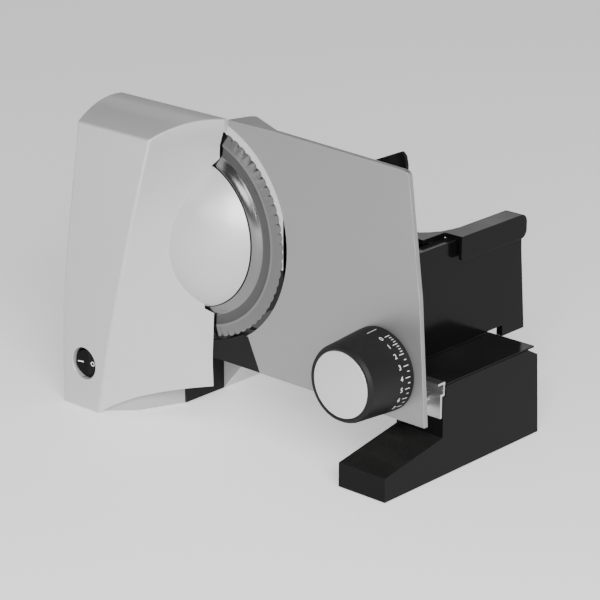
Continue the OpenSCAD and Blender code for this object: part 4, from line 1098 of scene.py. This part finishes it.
def spikes_tree():
    """Cones that point to -Y, in rows, with their bases centred on one point."""
    tree, inside, outside = geometry_tree("spike_grid", [
        ("Columns", "NodeSocketInt"), ("Rows", "NodeSocketInt"), ("Width", "NodeSocketFloat"),
        ("Height", "NodeSocketFloat"), ("Radius", "NodeSocketFloat"), ("Length", "NodeSocketFloat"),
        ("Centre", "NodeSocketVector"), ("Material", "NodeSocketMaterial")])
    grid = put(tree, "GeometryNodeMeshGrid")
    for source, target in (("Columns", "Vertices X"), ("Rows", "Vertices Y"), ("Width", "Size X"),
                           ("Height", "Size Y")):
        tree.links.new(inside.outputs[source], grid.inputs[target])
    cone = put(tree, "GeometryNodeMeshCone", Vertices=SPIKE_SIDES)
    tree.links.new(inside.outputs["Radius"], cone.inputs["Radius Bottom"])
    tip = calc(tree, "MULTIPLY", inside.outputs["Radius"], TIP_SHARE)
    tree.links.new(tip, cone.inputs["Radius Top"])
    tree.links.new(inside.outputs["Length"], cone.inputs["Depth"])
    copies = put(tree, "GeometryNodeInstanceOnPoints")
    tree.links.new(grid.outputs[0], copies.inputs["Points"])
    tree.links.new(cone.outputs[0], copies.inputs["Instance"])
    stood = put(tree, "GeometryNodeTransform", Rotation=(math.radians(90), 0.0, 0.0))
    tree.links.new(copies.outputs[0], stood.inputs["Geometry"])
    tree.links.new(inside.outputs["Centre"], stood.inputs["Translation"])
    finish_tree(tree, outside, stood.outputs[0], inside.outputs["Material"])
    return tree


def pusher_spikes():
    low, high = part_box("pusher_spikes")
    radius = SPIKE_R * MM
    obj = grown("pusher_pins", spikes_tree(), {
        "Columns": SPIKE_COLUMNS, "Rows": SPIKE_ROWS, "Width": high.x - low.x - 2 * radius,
        "Height": high.z - low.z - 2 * radius, "Radius": radius, "Length": high.y - low.y,
        "Centre": Vector(((low.x + high.x) / 2, high.y, (low.z + high.z) / 2)), "Material": TURNED_STEEL})
    return fit(obj, "pusher", TURNED_STEEL, ["pusher_spikes"])


def dress_nodes():
    """Rounded edges and a finish for every node that shows."""
    plan = [
        ("stop_plate", PLATE_METAL, 0.55), ("blade_guard", SILVER, 0.4), ("rear_case", SATIN, 1.0),
        ("case_floor", GREY, 0.4), ("rear_leg", SILVER, 1.0), ("bridge_deck", SATIN, 0.7),
        ("base_block", GLOSS, 0.7), ("guide_rail", RAIL_METAL, 0.15), ("corner_guard", SATIN, 0.35),
        ("switch_body", SATIN, 0.3), ("switch_rocker", GLOSS, 0.5), ("cord_gland", SATIN, 0.4),
        ("rubber_feet", RUBBER, 0.15), ("guard_screws", TURNED_STEEL, 0.25), ("rod_bushes", BRONZE, 0.2),
        ("spindle_nut", SATIN, 0.5), ("blade_lock", SATIN, 0.8), ("guide_rods", TURNED_STEEL, 0.3),
        ("knob_bush", BRONZE, 0.2), ("knob_spindle", TURNED_STEEL, 0.1), ("carriage_floor", GLOSS, 0.5),
        ("carriage_wall", GLOSS, 0.8), ("guide_shoe", WHITE, 0.3), ("carriage_glides", WHITE, 0.2),
        ("pusher_shield", GLOSS, 0.9), ("pusher_saddle", GLOSS, 1.3)]
    for node, material, width in plan:
        softened(node, material, width)


def coat_inner_nodes():
    """Finishes of the nodes that keep their own meshes, inside the housing."""
    plan = {
        "gear_plate": GREY, "motor_stator": CORE, "stator_coils": COPPER, "brush_holders": BRONZE,
        "gear_bracket": GREY, "worm_bushes": BRONZE, "motor_foot_bush": BRONZE, "blade_bush_front": BRONZE,
        "blade_bush_rear": BRONZE, "terminal_block": WHITE, "blade_shaft": TURNED_STEEL,
        "worm_wheel": WHITE, "blade_screws": TURNED_STEEL, "armature_core": CORE,
        "armature_shaft": TURNED_STEEL, "worm": TURNED_STEEL, "commutator": COPPER, "cooling_fan": WHITE}
    for node, material in plan.items():
        mesh = frame["nodes"][node].data
        mesh.materials.clear()
        mesh.materials.append(material)


# Camera, floor and light

CAMERA_AT = (1286.08, -1304.25, 747.95)
CAMERA_TURN = (70.2325, 0.0, 42.2465)
CAMERA_LENS, CAMERA_SENSOR = 153.32, 36
FLOOR_SIZE, FLOOR_TONE, FLOOR_ROUGH, FLOOR_SPECULAR, FLOOR_GLOW = 12.0, 0.9, 0.7, 0.1, 0.5
# Each softbox's name, place and size in metres, and power in watts
SOFTBOXES = [
    ("key", (1.6, -1.45, 1.1), (1.5, 1.3), 100),
    ("front", (0.3, -2.2, 0.95), (0.8, 0.55), 9),
    ("low_front", (-0.95, -2.0, 0.12), (0.45, 0.4), 1),
    ("back", (-1.5, 1.6, 1.05), (0.9, 0.6), 2.2),
    ("rear", (1.4, 1.9, 0.6), (1.4, 1.0), 6)]
LIGHT_AIM = (0.0, 0.0, 0.12)
WORLD_LIGHT = 0.12


def camera():
    data = bpy.data.cameras.new("camera")
    data.lens = CAMERA_LENS
    data.sensor_width = CAMERA_SENSOR
    obj = new_object("camera", data)
    obj.location = DATUM + Vector(CAMERA_AT) * MM
    obj.rotation_euler = [math.radians(a) for a in CAMERA_TURN]
    bpy.context.scene.camera = obj


def floor():
    bm = bmesh.new()
    bmesh.ops.create_grid(bm, x_segments=2, y_segments=2, size=FLOOR_SIZE)
    obj = as_object("floor", bm)
    material = bpy.data.materials.new("pale_floor")
    material.use_nodes = True
    finish = {"Base Color": grey(FLOOR_TONE), "Roughness": FLOOR_ROUGH, "Specular IOR Level": FLOOR_SPECULAR,
              "Emission Color": grey(1.0), "Emission Strength": FLOOR_GLOW}
    for name, value in finish.items():
        material.node_tree.nodes["Principled BSDF"].inputs[name].default_value = value
    obj.data.materials.append(material)


def softbox(name, spot, size, power):
    data = bpy.data.lights.new(name, "AREA")
    data.shape = "RECTANGLE"
    data.size, data.size_y = size
    data.energy = power
    obj = new_object(name, data)
    obj.location = spot
    obj.rotation_euler = (Vector(LIGHT_AIM) - Vector(spot)).to_track_quat("-Z", "Y").to_euler()


def lights():
    for name, spot, size, power in SOFTBOXES:
        softbox(name, spot, size, power)
    world = bpy.data.worlds.new("studio")
    world.use_nodes = True
    background = world.node_tree.nodes["Background"]
    background.inputs["Color"].default_value = grey(1.0)
    background.inputs["Strength"].default_value = WORLD_LIGHT
    bpy.context.scene.world = world


camera()
floor()
lights()
housing()
blade()
dial_body()
dial_disc()
dial_numbers()
dial_marks()
rocker_marks()
pusher_spikes()
dress_nodes()
coat_inner_nodes()
